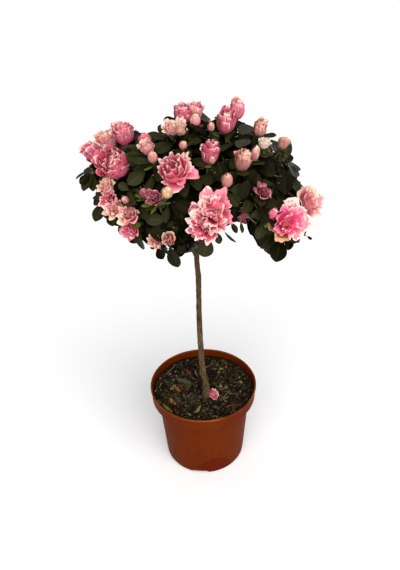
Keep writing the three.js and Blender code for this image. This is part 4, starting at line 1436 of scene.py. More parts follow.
def all_masses() -> list[Mass]:
    """Return the masses of foliage, as the solids have them."""
    return [
        Mass("top", 60, 1),
        Mass("upper_front", -82, 0.55, 24),
        Mass("upper_right", 5, 0.52, 34),
        Mass("upper_back", 92, 0.52, 28),
        Mass("upper_left", 178, 0.52, 38),
        Mass("lower_front", -100, -0.3, 13),
        Mass("lower_right", -25, -0.28, 9),
        Mass("lower_back_right", 47, -0.3, 16),
        Mass("lower_back_left", 118, -0.3, 7),
        Mass("lower_left", 190, -0.28, 0),
    ]


@dataclass
class Layer:
    """One layer of the finer whorls: how far inside the dome, how many trial places, and how far apart."""

    least: float
    most: float
    trials: int
    apart: float
    lowest: float


@dataclass
class Crown:
    """The tips of the crown and the masses that they belong to."""

    dome: Dome
    seat_share: float = 0.62
    bloom_stands_out: float = 10
    whorl_stands_in: float = 6
    shown_apart: float = 16
    spread_points: int = 500
    spread_inside: Span = (5, 17)
    from_blooms: float = 23
    from_whorls: float = 35
    turned_away: float = 0.12
    same_mass: float = 22
    whorl_room: float = 0.62
    leaf_root_in: float = 5
    leaf_tip_out: float = 3
    leaf_least_width: float = 0.55
    leaf_wide_up_to: float = 30
    masses: list[Mass] = field(default_factory=all_masses)

    # For each kind of bloom that the front doesn't show: the share of the tips up to which it comes,
    # its widths and its heights.
    HIDDEN: ClassVar[dict[BloomKind, tuple[float, Span, Span]]] = {
        BloomKind.OPEN: (0.13, (34, 46), (26, 32)),
        BloomKind.HALF: (0.36, (16, 24), (17, 27)),
        BloomKind.BUD: (0.45, (12, 16), (14, 18)),
    }
    # How much a bloom or a whorl turns outward, up and to the eye.
    FACING: ClassVar[dict[Optional[BloomKind], Triple]] = {
        BloomKind.BUD: (0.8, 0.75, 0),
        BloomKind.HALF: (0.8, 0.6, 0.1),
        BloomKind.OPEN: (0.6, 0.1, 0.75),
        None: (0.8, 0, 0.6),
    }
    LAYERS: ClassVar[list[Layer]] = [
        Layer(3, 11, 2200, 17, -0.78),
        Layer(17, 27, 1500, 20, -0.72),
        Layer(34, 46, 900, 26, -0.62),
    ]

    def __post_init__(self) -> None:
        """Place every tip on the dome, and deal them out to the masses."""
        middle = point(*self.dome.middle)
        for mass in self.masses:
            place = self.dome.on(math.radians(mass.bearing), mass.cosine)
            mass.seat = middle + self.seat_share * (place - middle)
        self.tips = self._main_tips()
        self._deal_out()
        self.fine_tips = self._fine_tips()
        for tip in self.fine_tips:
            self.masses[self.mass_at(tip.middle)].fine_tips.append(tip)

    @property
    def all_tips(self) -> list[Tip]:
        """Return the solids' tips and the finer ones."""
        return [*self.tips, *self.fine_tips]

    def facing(self, place: Array, kind: Optional[BloomKind]) -> Array:
        """Return the way that a bloom or a whorl that shows from the front points."""
        outward, up, eye = self.FACING[kind]
        return unit(self.dome.outward(place) * outward + UP * up + unit(VIEW.place - place) * eye)

    def bloom_tip(self, px: Pixel, bloom: Bloom) -> Tip:
        """Return the tip that carries a bloom seen at a pixel."""
        middle = self.dome.seen(px, self.bloom_stands_out)
        out = self.facing(middle, bloom.kind)
        out = unit(out + point(bloom.tilt[0], 0, 0) + VIEW.above * bloom.tilt[1])
        return Tip(middle - out * (bloom.height / 2), out, bloom)

    def _main_tips(self) -> list[Tip]:
        """Return the tips that the solids have."""
        tips = [self.bloom_tip(px, bloom) for px, bloom in SHOWN_BLOOMS]
        for px in SHOWN_WHORLS:
            at = self.dome.seen(px, -self.whorl_stands_in)
            if self._is_free(at, tips, self.shown_apart, self.shown_apart):
                tips.append(Tip(at, self.facing(at, None)))
        for i in range(self.spread_points):
            cosine = between(1, self.dome.lowest, (i + 0.5) / self.spread_points)
            inside = between(*self.spread_inside, chance(i, 11))
            at = self.dome.on(i * GOLDEN, cosine, -inside)
            is_free = self._is_free(at, tips, self.from_blooms, self.from_whorls)
            if is_free and is_inside_edge(at[None])[0]:
                out = self.dome.outward(at)
                tips.append(Tip(at, out, self._chosen_bloom(i, at, out), inside=inside))
        for i, tip in enumerate(tips):
            tip.index = i
        return tips

    @staticmethod
    def _is_free(at: Array, tips: Sequence[Tip], from_blooms: float, from_whorls: float) -> bool:
        """Say whether a place is far enough from every tip so far."""
        for tip in tips:
            if length_of(tip.at - at) <= (from_blooms if tip.bloom else from_whorls):
                return False
        return True

    def _chosen_bloom(self, index: int, at: Array, out: Array) -> Optional[Bloom]:
        """Return a bloom for a tip that the front doesn't show and where it wouldn't stand out, or none."""
        draw, size, tint, narrow, wide = (chance(index, number) for number in range(71, 76))
        kinds = [kind for kind, (share, _, _) in self.HIDDEN.items() if draw < share]
        if not kinds or float(out @ unit(VIEW.place - at)) >= self.turned_away:
            return None
        tint = [Tint.ROSE, Tint.SOFT, Tint.SOFT, Tint.BLUSHED][int(4 * tint)]
        form = None
        if kinds[0] is BloomKind.OPEN:
            tint = Tint.ROSE
            form = [Form.FACE, Form.ROSE, Form.GLOBE, Form.RUFFLED][int(4 * wide)]
        elif kinds[0] is BloomKind.HALF:
            form = Form.CUP if narrow < 0.5 else Form.BARREL
        _, widths, heights = self.HIDDEN[kinds[0]]
        bloom = Bloom(kinds[0], between(*widths, size), between(*heights, size), tint, form)
        ends = at + out * bloom.height * np.array([[0.5], [1.1]])
        return bloom if is_inside_edge(ends, 5).all() else None

    def mass_at(self, place: Array) -> int:
        """Return the mass whose seat is nearest to a place."""
        return int(np.argmin([length_of(mass.seat - place) for mass in self.masses]))

    def _deal_out(self) -> None:
        """Give each tip to the nearest mass, and blooms that stand close together to the same one."""
        blooms: list[Tip] = []
        for tip in self.tips:
            tip.mass = self.mass_at(tip.middle)
            if tip.bloom:
                near = [other for other in blooms if length_of(other.middle - tip.middle) < self.same_mass]
                tip.mass = near[0].mass if near else tip.mass
                blooms.append(tip)
            self.masses[tip.mass].tips.append(tip)

    def _fine_tips(self) -> list[Tip]:
        """Return the tips of the finer twigs: small buds, leaves that stand out, and whorls in layers."""
        fine = [self.bloom_tip(px, bloom) for px, bloom in SMALL_BUDS]
        fine.extend(self._leaf_tip(root, tip, width) for root, tip, width in SHOWN_LEAVES)
        whorls = [tip.at for tip in self.tips]
        for number, layer in enumerate(self.LAYERS):
            others = np.array(whorls)
            placed: list[Array] = []
            for i in range(layer.trials):
                cosine = between(0.98, layer.lowest, (i + 0.5) / layer.trials)
                inside = between(layer.least, layer.most, chance(i, number, 12))
                at = self.dome.on(i * GOLDEN + number, cosine, -inside)
                if np.min(np.linalg.norm(others - at, axis=1)) < self.whorl_room * layer.apart:
                    continue
                if placed and np.min(np.linalg.norm(np.array(placed) - at, axis=1)) < layer.apart:
                    continue
                if is_inside_edge(at[None], 3)[0]:
                    placed.append(at)
                    fine.append(Tip(at, self.dome.outward(at), inside=inside + 1))
            whorls.extend(placed)
        for i, tip in enumerate(fine):
            tip.index = FIRST_FINE + i
        return fine

    def _leaf_tip(self, root_px: Pixel, tip_px: Pixel, width_px: float) -> Tip:
        """Return the tip that carries one leaf that stands out, with that leaf.

        Args:
            root_px: Where its root is seen.
            tip_px: Where its tip is seen.
            width_px: How wide it is seen.

        Returns:
            The tip.
        """
        root = self.dome.seen(root_px, -self.leaf_root_in)
        way = self.dome.seen(tip_px, self.leaf_tip_out) - root
        length = length_of(way)
        way = way / length
        seen_width = width_px * float(VIEW.deep(root)[0]) / VIEW.focal_px
        width = max(seen_width, self.leaf_least_width * min(length, self.leaf_wide_up_to))
        face = square_part(unit(VIEW.place - root), way)
        side = np.cross(face, way)
        roll = math.acos(min(1, seen_width / width))
        sign = 1 if float(side @ self.dome.outward(root)) > 0 else -1
        turned = unit(face * math.cos(roll) + side * (math.sin(roll) * sign))
        return Tip(root, way, leaf=Blade(root, way, turned, length, width, arch=0.05, cup=-0.2))


# Limbs


@dataclass
class Stem:
    """The single stem: its way up from the soil, its thickness and its flared foot."""

    foot: Triple = (5, -14, 115)
    way: tuple[Triple, ...] = (
        (0.4, -0.4, -6),
        (-2.4, 1.5, 24),
        (-5.5, 4, 52),
        (-7, 5.5, 95),
        (-7.4, 7, 140),
        (-6.8, 8, 190),
        (-8, 9, 226),
        (-5, 11, 252),
        (-3, 12, 276),
        (-1, 12, 298),
        (1, 12, 318),
    )
    radius: float = 4.1
    tip_radius: float = 2.9
    flare: float = 3.6
    flare_height: float = 13
    fork: float = 226

    def __post_init__(self) -> None:
        """Draw the stem's middle line."""
        self.line = curve_through([point(*self.foot) + point(*step) for step in self.way], 28)
        self.above_foot = self.line[:, 2] - self.foot[2]

    def on(self, height: float) -> Array:
        """Return the place on the stem at a height over its foot."""
        return along_line(self.line, height, self.above_foot)

    def radii(self) -> Array:
        """Return the stem's radius at each place of its line."""
        share = np.clip(self.above_foot / self.above_foot[-1], 0, 1)
        flare = self.flare * np.exp(-np.maximum(self.above_foot, 0) / self.flare_height)
        return between(self.radius, self.tip_radius, share) + flare


@dataclass
class Limbs:
    """The stem and the nine boughs that leave it, with the bark's relief."""

    dome: Dome
    stem: Stem = field(default_factory=Stem)
    base_radius: float = 3.1
    bough_tip_radius: float = 2.5
    collar: float = 1.4
    collar_length: float = 3.5
    enters: float = 2.5
    middle_share: float = 0.15
    seat_share: float = 0.85
    outward: float = 0.7
    bend: float = 0.5
    steps: int = 100
    first_end: int = 8
    last_end: int = 96
    sides: int = 36
    ring_gap: float = 0.9
    relief: float = 0.34
    swelling: float = 0.4
    finish: MatterFinish = BARK

    def bough(self, mass: Mass, masses: Sequence[Mass]) -> Array:
        """Return the middle line of a mass's bough, and set where the mass's twigs start.

        Args:
            mass: The mass that the bough leads to.
            masses: All the masses.

        Returns:
            The line's places, one row each.
        """
        start = self.stem.on(self.stem.fork + mass.leaves)
        goal = point(*self.dome.middle) * self.middle_share + mass.seat * self.seat_share
        away = unit(unit((goal - start) * point(1, 1, 0)) * self.outward + UP)
        bend = start + away * (self.bend * length_of(goal - start))
        line = bezier([start, bend, goal], self.steps)
        end = self.last_end
        for i in range(self.first_end, end):
            nearest = min(masses, key=lambda other: length_of(other.seat - line[i]))
            if self.dome.is_in_core(line[i]) and nearest is mass:
                end = i
                break
        mass.away = unit(line[end + 1] - line[end])
        mass.foot = line[end] + mass.away * self.enters
        return np.vstack([line[: end + 1], mass.foot])

    def build(self, masses: Sequence[Mass]) -> None:
        """Make the stem and the boughs that lead to the masses as one piece."""
        maker = MeshMaker("trunk_and_boughs", [self.finish.material("bark")], "bark")
        self._add_limb(maker, self.stem.line, self.stem.radii())
        nodes = ["trunk"]
        for mass in masses:
            if mass.leaves is None:
                mass.foot = self.stem.line[-1]
                mass.away = unit(self.stem.line[-1] - self.stem.line[-2])
                mass.foot_radius = self.stem.tip_radius
                continue
            line = self.bough(mass, masses)
            lengths = lengths_along(line)
            collar = self.collar * np.exp(-lengths / self.collar_length)
            radii = between(self.base_radius, self.bough_tip_radius, lengths / lengths[-1]) + collar
            self._add_limb(maker, line, radii)
            nodes.append(f"bough_{mass.name}")
        maker.build(*nodes)

    def _add_limb(self, maker: MeshMaker, line: Array, radii: Array) -> None:
        """Add one limb, cut into short stretches and pressed with the bark's fissures."""
        lengths = lengths_along(line)
        even = np.linspace(0, lengths[-1], max(8, int(lengths[-1] / self.ring_gap)))
        middles = along_line(line, even, lengths)
        widths = np.interp(even, lengths, radii)
        rings = tube_rings(middles, np.ones(len(middles)), self.sides)
        for i, (middle, width, reach) in enumerate(zip(middles, widths, even)):
            for j, out in enumerate(rings[i] - middle):
                spot = Vector((*(out * 2.4), reach * 0.09 + middles[0][2]))
                crack = noise.noise(Vector((spot[0] + spot[3], spot[1], spot[2] * 0.4 + reach * 0.12)))
                swell = noise.noise(Vector((out[0], out[1] + middles[0][0], reach * 0.05)))
                rings[i, j] = middle + out * (width + self.relief * crack + self.swelling * swell)
        maker.add_limb(middles, rings, np.zeros(len(middles) - 1, int))


# Twigs


@dataclass(eq=False)
class Twig:
    """One twig: its middle line and its radius at either end."""

    line: Array
    start_radius: float
    end_radius: float


@dataclass(eq=False)
class Starts:
    """Places where twigs may leave, with the way that the limb runs there and its radius."""

    at: Array
    along: Array
    radius: Array

    def costs(self, ends: Array, outs: Array) -> Array:
        """Return what a twig from each start to each end would cost, by end and by start.

        Args:
            ends: Where the twigs would end.
            outs: The way that their tips point.

        Returns:
            The costs. Twigs that would turn back on themselves cost a great deal.
        """
        apart = ends[:, None] - self.at[None]
        length = np.linalg.norm(apart, axis=2)
        way = apart / np.maximum(length, 1e-6)[..., None]
        turn = np.einsum("ijk,jk->ij", way, self.along)
        meets = np.einsum("ijk,ik->ij", way, outs)
        cost = length * (1.5 - 0.5 * turn) - 8 * self.radius[None]
        return cost + 500.0 * (turn < -0.1) + 250.0 * (meets < -0.5)


@dataclass(frozen=True)
class TwigRule:
    """How twigs branch: their thickness against the limb they leave, and their curve."""

    side_share: float = 0.62
    thickest: float = 1.6
    thinnest: float = 1.05
    reach: float = 0.36
    starts_apart: float = 4
    first: float = 0.2
    last: float = 0.8
    steps: int = 10
    taper: float = 0.72
    leader_end: float = 1.3
    keeps_way: float = 0.35

    def curve(self, start: Array, away: Array, tip: Tip) -> Array:
        """Return the middle line of a twig from a start to a tip."""
        reach = self.reach * length_of(tip.end - start)
        return bezier([start, start + away * reach, tip.end - tip.out * reach, tip.end], self.steps)


class Branching:
    """Grows the twigs of one mass from the end of its bough."""

    def __init__(self, mass: Mass) -> None:
        """Start at the foot of a mass."""
        self.mass = mass
        self.twigs: list[Twig] = []
        self.starts = Starts(np.zeros((0, 3)), np.zeros((0, 3)), np.zeros(0))

    def grow(self, coarse: TwigRule, fine: TwigRule) -> list[Twig]:
        """Grow a twig to every tip by the coarse rule, then one to every finer tip by the fine rule."""
        tips = list(self.mass.tips)
        middle = np.mean([tip.at for tip in tips], axis=0)
        leader = min(tips, key=lambda tip: length_of(tip.at - middle))
        tips.remove(leader)
        line = coarse.curve(self.mass.foot, self.mass.away, leader)
        self._keep(Twig(line, self.mass.foot_radius - 0.2, coarse.leader_end), coarse)
        self._grow_all(tips, coarse)
        self._grow_all(self.mass.fine_tips, fine)
        return self.twigs

    def _grow_all(self, tips: Sequence[Tip], rule: TwigRule) -> None:
        """Grow the cheapest twig again and again until every tip has its own."""
        if not tips:
            return
        ends = np.array([tip.end for tip in tips])
        outs = np.array([tip.out for tip in tips])
        costs = self.starts.costs(ends, outs)
        best, least = costs.argmin(axis=1), costs.min(axis=1)
        waiting = np.ones(len(tips), bool)
        while waiting.any():
            chosen = int(np.where(waiting, least, np.inf).argmin())
            waiting[chosen] = False
            tip, start = tips[chosen], int(best[chosen])
            way = unit(tip.end - self.starts.at[start])
            away = unit(between(way, self.starts.along[start], rule.keeps_way))
            radius = min(max(rule.side_share * self.starts.radius[start], rule.thinnest), rule.thickest)
            known = len(self.starts.at)
            line = rule.curve(self.starts.at[start], away, tip)
            self._keep(Twig(line, radius, radius * rule.taper), rule)
            fresh = Starts(self.starts.at[known:], self.starts.along[known:], self.starts.radius[known:])
            if len(fresh.at) > 0:
                costs = fresh.costs(ends, outs)
                better = costs.min(axis=1) < least
                least = np.where(better, costs.min(axis=1), least)
                best = np.where(better, costs.argmin(axis=1) + known, best)

    def _keep(self, twig: Twig, rule: TwigRule) -> None:
        """Keep a twig, and let others start from it."""
        self.twigs.append(twig)
        lengths = lengths_along(twig.line)
        length = lengths[-1]
        if length < 2 * rule.starts_apart:
            return
        spots = np.arange(rule.first * length, rule.last * length, rule.starts_apart)
        at = along_line(twig.line, spots, lengths)
        along = unit(along_line(twig.line, spots + 0.5, lengths) - at)
        radius = between(twig.start_radius, twig.end_radius, spots / length)
        self.starts = Starts(
            np.concatenate([self.starts.at, at]),
            np.concatenate([self.starts.along, along]),
            np.concatenate([self.starts.radius, radius]),
        )


@dataclass
class Twigs:
    """All the twigs of the crown, woody first and green toward their tips."""

    coarse: TwigRule = TwigRule()
    fine: TwigRule = TwigRule(thickest=1, thinnest=0.6, starts_apart=3, first=0.1, last=0.95, steps=7)
    green_length: float = 14
    swelling: float = 1.25
    thin: float = 0.9
    bark: MatterFinish = BARK
    young: SoftFinish = SoftFinish((0.085, 0.075, 0.03), 0.55, 0.4)
    petiole: SoftFinish = SoftFinish((0.15, 0.17, 0.05), 0.5, 0.4)

    def build(self, masses: Sequence[Mass]) -> None:
        """Grow the twigs of every mass and join them into one piece."""
        materials = [
            self.bark.material("twig_bark"),
            self.young.material("twig_young"),
            self.petiole.material("twig_green"),
        ]
        maker = MeshMaker("twigs", materials, "bark")
        for mass in masses:
            for twig in Branching(mass).grow(self.coarse, self.fine):
                self._add(maker, twig)
        maker.build()

    def _add(self, maker: MeshMaker, twig: Twig) -> None:
        """Add one twig with a small swelling where it starts."""
        radii = np.linspace(twig.start_radius, twig.end_radius, len(twig.line))
        radii[0] *= self.swelling
        left = np.linalg.norm(twig.line[1:] - twig.line[-1], axis=1)
        if twig.start_radius < self.thin:
            dress = (left < self.green_length * 2).astype(int) + (left < self.green_length * 0.4)
        else:
            dress = (left < self.green_length).astype(int)
        maker.add_tube(twig.line, radii, 7 if twig.start_radius > self.thin else 5, dress)


# Leaves on their twigs


class Clearing:
    """The room that the blooms take, in the crown and in the picture."""

    ROOM = 0.9
    SEEN_ROOM = 0.8
    LEAF_ROOM = 0.42
    LEAF_ROWS = (3, 5, 7)
    BEHIND_LEAF = 4

    def __init__(self, tips: Sequence[Tip]) -> None:
        """Take note of every bloom, and of every leaf that is shown."""
        blooms = [tip for tip in tips if tip.bloom]
        self.middles = np.array([tip.middle for tip in blooms])
        self.radii = np.array([self.ROOM / 2 * (tip.bloom.width + tip.bloom.height) / 2 for tip in blooms])
        self.deep = VIEW.deep(self.middles)
        self.seen = VIEW.seen_at(self.middles)
        self.seen_radii = self.SEEN_ROOM * self.radii / self.ROOM * VIEW.focal_px / self.deep
        spots, widths = [], []
        for tip in tips:
            if tip.leaf is not None:
                places = tip.leaf.places()
                spots.extend(places[row, places.shape[1] // 2] for row in self.LEAF_ROWS)
                widths.extend(tip.leaf.width for _ in self.LEAF_ROWS)
        self.leaf_deep = VIEW.deep(np.array(spots))
        self.leaf_seen = VIEW.seen_at(np.array(spots))
        self.leaf_radii = self.LEAF_ROOM * np.array(widths) * VIEW.focal_px / self.leaf_deep

    def is_clear(self, places: Array) -> bool:
        """Say whether none of the places is inside a bloom, or hides a bloom or a leaf that is shown."""
        apart = np.linalg.norm(places[:, None] - self.middles[None], axis=2)
        if (apart < self.radii[None]).any():
            return False
        at = VIEW.seen_at(places)[:, None]
        deep = VIEW.deep(places)[:, None]
        seen = np.linalg.norm(at - self.seen[None], axis=2)
        if ((seen < self.seen_radii[None]) & (deep < self.deep[None])).any():
            return False
        seen = np.linalg.norm(at - self.leaf_seen[None], axis=2)
        return not ((seen < self.leaf_radii[None]) & (deep < self.leaf_deep[None] + self.BEHIND_LEAF)).any()


@dataclass
class LeafRule:
    """How a whorl's leaves stand round the end of a twig."""

    length: Span = (21, 31)
    stockiness: Span = (0.4, 0.56)
    arch: Span = (0.04, 0.2)
    cup: Span = (-0.5, 0.15)
    twist: Span = (-0.5, 0.5)
    wave: float = 0.1
    simple_inside: float = 15
    steepest: float = math.radians(40)
    flattest: float = math.radians(92)
    flattest_under_bloom: float = math.radians(72)
    droop: float = 0.18
    droop_below: float = 0.55
    first_down: float = 1.4
    step: float = 1.7
    in_whorl: int = 6
    under_bloom: int = 5
    under_small_bud: int = 2
    small_bud: float = 10
    tries: int = 9
    turned_by: float = 0.45

    def count(self, tip: Tip) -> int:
        """Return how many leaves a tip has."""
        if tip.bloom is None:
            return self.in_whorl
        return self.under_small_bud if tip.bloom.width < self.small_bud else self.under_bloom

    def blade(self, tip: Tip, k: int, attempt: int, dome: Dome) -> Blade:
        """Return one leaf of a whorl.

        Args:
            tip: The tip that it grows at.
            k: Which leaf it is, counted down from the tip.
            attempt: How many times it has been turned away from a bloom.
            dome: The dome that the tips lie on.

        Returns:
            The leaf.
        """
        side = tip.side(k * GOLDEN + 6 * chance(tip.index, 32) + self.turned_by * attempt)
        flattest = self.flattest_under_bloom if tip.bloom else self.flattest
        lean = between(self.steepest, flattest, (k + chance(tip.index, k, attempt, 33)) / self.count(tip))
        below = min(max((dome.middle[2] - tip.at[2]) / dome.up, 0), 1)
        droop = self.droop + self.droop_below * below
        way = unit(side * math.sin(lean) + tip.out * math.cos(lean) - UP * droop)
        length = between(*self.length, chance(tip.index, k, 41))
        return Blade(
            root=tip.at - tip.out * (self.first_down + k * self.step),
            way=way,
            face=square_part(tip.out + 0.3 * UP, way),
            length=length,
            width=length * between(*self.stockiness, chance(tip.index, k, 42)),
            arch=between(*self.arch, chance(tip.index, k, 43)),
            cup=between(*self.cup, chance(tip.index, k, 44)),
            twist=between(*self.twist, chance(tip.index, k, 45)),
            wave=self.wave,
            is_simple=tip.inside > self.simple_inside,
        )


@dataclass(frozen=True)
class PaintedShadeRule:
    """How dark a leaf is painted: painted shade by its depth in the crown and by how low it hangs, painted
    light on shallow leaves, and some chance.
    """

    # Leaves are painted darker, as shade, the lower they hang below low_under, fully so at lowest.
    lowest: float = 365
    low_under: float = 440
    low_weight: float = 6
    stray: float = 16
    # Leaves that stand out start on the painted light side and take painted shade only low down.
    shown_low_weight: float = 14
    shown_start: float = -8
    shown_stray: float = 8
    young_share: float = 0.06
    # Past each depth a darker painted shade is dealt; leaves nearer the outside get SOFT, the painted
    # light.
    depths: tuple[float, ...] = (12, 4, -4.5)
    shades: tuple[LeafShade, ...] = (LeafShade.DEEP, LeafShade.DARK, LeafShade.OLIVE)

    def shade(self, tip: Tip, k: int, inside: float) -> LeafShade:
        """Return a leaf's colour: painted shade deeper inside the crown and low down, painted light near
        the outside, now and then young at a tip.
        """
        draw = chance(tip.index, k, 51)
        if k == 0 and draw < self.young_share and tip.leaf is None:
            return LeafShade.YOUNG
        low = 1 - smooth(self.lowest, self.low_under, tip.at[2])
        depth = inside + self.low_weight * low + self.stray * (draw - 0.5)
        if tip.leaf is not None:
            depth = self.shown_low_weight * low + self.shown_start + self.shown_stray * (draw - 0.5)
        darker = (shade for least, shade in zip(self.depths, self.shades) if depth > least)
        return next(darker, LeafShade.SOFT)


@dataclass
class Leaves:
    """Every leaf of the crown."""

    dome: Dome
    rule: LeafRule = field(default_factory=LeafRule)
    shades: PaintedShadeRule = PaintedShadeRule()
    inset: float = 4
    fine_inset: float = 7
    fresh: int = 4
    fresh_length: Span = (9, 17)
    fresh_rise: Span = (-0.1, 0.7)
    fresh_share: float = 0.65

    def build(self, crown: Crown, nodes: Sequence[str]) -> None:
        """Make the leaves in pieces, of which the first stands for the solids' masses.

        Args:
            crown: The crown with its tips.
            nodes: The solids' nodes of the masses.
        """
        foliage = Foliage()
        clearing = Clearing(crown.all_tips)
        for tip in crown.all_tips:
            if tip.leaf is not None:
                # A leaf that stands out takes painted light, or painted shade where it hangs low.
                foliage.add(tip.leaf, self.shades.shade(tip, 0, 0))
                continue
            for k in range(self.rule.count(tip)):
                self._add_leaf(foliage, clearing, tip, k)
            if tip.bloom and tip.bloom.kind is not BloomKind.OPEN:
                self._add_fresh(foliage, tip)
        foliage.pieces.build(*nodes)

    def _add_leaf(self, foliage: Foliage, clearing: Clearing, tip: Tip, k: int) -> None:
        """Add one leaf of a whorl, turned until it is clear of the blooms, or leave it out."""
        for attempt in range(self.rule.tries):
            blade = self.rule.blade(tip, k, attempt, self.dome)
            outline = blade.outline()
            inset = self.fine_inset if tip.index >= FIRST_FINE else self.inset
            if clearing.is_clear(outline) and is_inside_edge(outline, inset).all():
                middle = blade.root + blade.way * (blade.length / 2)
                # How deep the leaf lies inside the dome sets how dark its painted shade is.
                inside = self.dome.back * (1 - float(self.dome.level(middle)))
                foliage.add(blade, self.shades.shade(tip, k, inside))
                return

    def _add_fresh(self, foliage: Foliage, tip: Tip) -> None:
        """Add the small fresh leaves that stand right under a bloom."""
        for k in range(self.fresh):
            turn, rise, length, shade = (chance(tip.index, k, number) for number in range(46, 50))
            way = unit(tip.side(1.7 * k + 6 * turn) + tip.out * between(*self.fresh_rise, rise))
            root = tip.at - tip.out * (0.5 + k)
            length = between(*self.fresh_length, length)
            shade = LeafShade.FRESH if shade < self.fresh_share else LeafShade.YOUNG
            blade = Blade(root, way, square_part(tip.out, way), length, length * 0.34, 0.15, 0.3)
            foliage.add(blade, shade)


# Blooms


class PetalColour(Enum):
    """The petals' plain colours."""

    VIVID = (0.93, 0.14, 0.33)
    DEEP = (0.76, 0.085, 0.19)
    PINK = (0.76, 0.15, 0.235)
    BLUSH = (0.8, 0.255, 0.31)
    PALE = (0.83, 0.42, 0.37)
    RIM = (0.9, 0.61, 0.53)
    IVORY = (0.88, 0.64, 0.48)
    CREAM = (0.6, 0.35, 0.2)
    PEACH = (0.8, 0.35, 0.28)
    # SHADE and DUSK are painted shade: darker copies of the pinks for blooms that sit in shadow.
    SHADE = (0.19, 0.026, 0.04)
    DUSK = (0.28, 0.072, 0.085)
    # MUTED is painted shade: a darker copy of PINK for blooms that look dimmer.
    MUTED = (0.53, 0.1, 0.155)
    SALMON = (0.53, 0.2, 0.175)
    MILK = (0.92, 0.8, 0.68)
    PAPERY = (0.3, 0.125, 0.033)


@dataclass
class Petal:
    """One petal, wrapped round its bloom's middle line: where it stands and how it curves outward."""

    bearing: float
    spread: float
    foot: float
    belly: float
    rim: float
    top: float
    roll: float
    ruffle: float
    phase: float
    skew: float
    drop: float

    def places(self, tip: Tip, grid: tuple[int, int]) -> tuple[Array, Array]:
        """Return the petal's places, and how near the rim each face lies.

        Args:
            tip: The tip that carries the bloom.
            grid: How many rows and columns of places there are.

        Returns:
            The places by row and by column, and a share from root to rim for each face.
        """
        rise = np.linspace(0, 1, grid[0])[:, None] ** 0.72
        aside = np.linspace(-1, 1, grid[1])[None, :]
        grown = rise * (1 - self.drop * np.abs(aside) ** 3)
        radii = (self.foot, self.belly * 1.1, self.belly, self.rim)
        heights = (0, self.top * 0.16, self.top * 0.75, self.top)
        weights = [(1 - grown) ** 3, 3 * grown * (1 - grown) ** 2, 3 * grown**2 * (1 - grown), grown**3]
        radius = sum(weight * control for weight, control in zip(weights, radii))
        height = sum(weight * control for weight, control in zip(weights, heights))
        edge = np.clip((grown - 0.72) / 0.28, 0, 1) ** 2
        radius = radius + self.roll * edge
        height = height - self.roll * 0.55 * edge * edge
        wave = np.sin(3.3 * aside + self.phase) + 0.6 * np.sin(7.1 * aside + 2 * self.phase)
        frill = np.sin(12 * aside + 3 * self.phase) * grown**8
        pleat = 0.045 * self.belly * np.sin(6 * aside + 5 * self.phase) * grown
        radius = radius + self.ruffle * (wave * grown**3 + 0.5 * frill) + self.skew * aside * grown + pleat
        height = height + 0.5 * self.ruffle * (np.cos(4.4 * aside + self.phase) * grown**3 + 0.6 * frill)
        angle = self.bearing + aside * self.spread * (0.4 + 0.6 * smooth(0, 0.5, grown))
        across, back = square_to(tip.out)
        ring = np.cos(angle)[..., None] * across + np.sin(angle)[..., None] * back
        places = tip.at + height[..., None] * tip.out + np.maximum(radius, 0.15)[..., None] * ring
        near_rim = np.maximum(grown, 1.22 * np.abs(aside) ** 2.8 * (0.45 + 0.55 * rise))
        faces = (near_rim[:-1, :-1] + near_rim[1:, :-1] + near_rim[:-1, 1:] + near_rim[1:, 1:]) / 4
        return places, faces


@dataclass(frozen=True)
class Ring:
    """One ring of petals, in shares of the bloom's half width and of its height."""

    count: int
    spread: float
    belly: float
    rim: float
    top: float
    roll: float = 0.0
    ruffle: float = 0.05
    skew: float = 0.07
    uneven: float = 0.13
    stray: float = 0.3


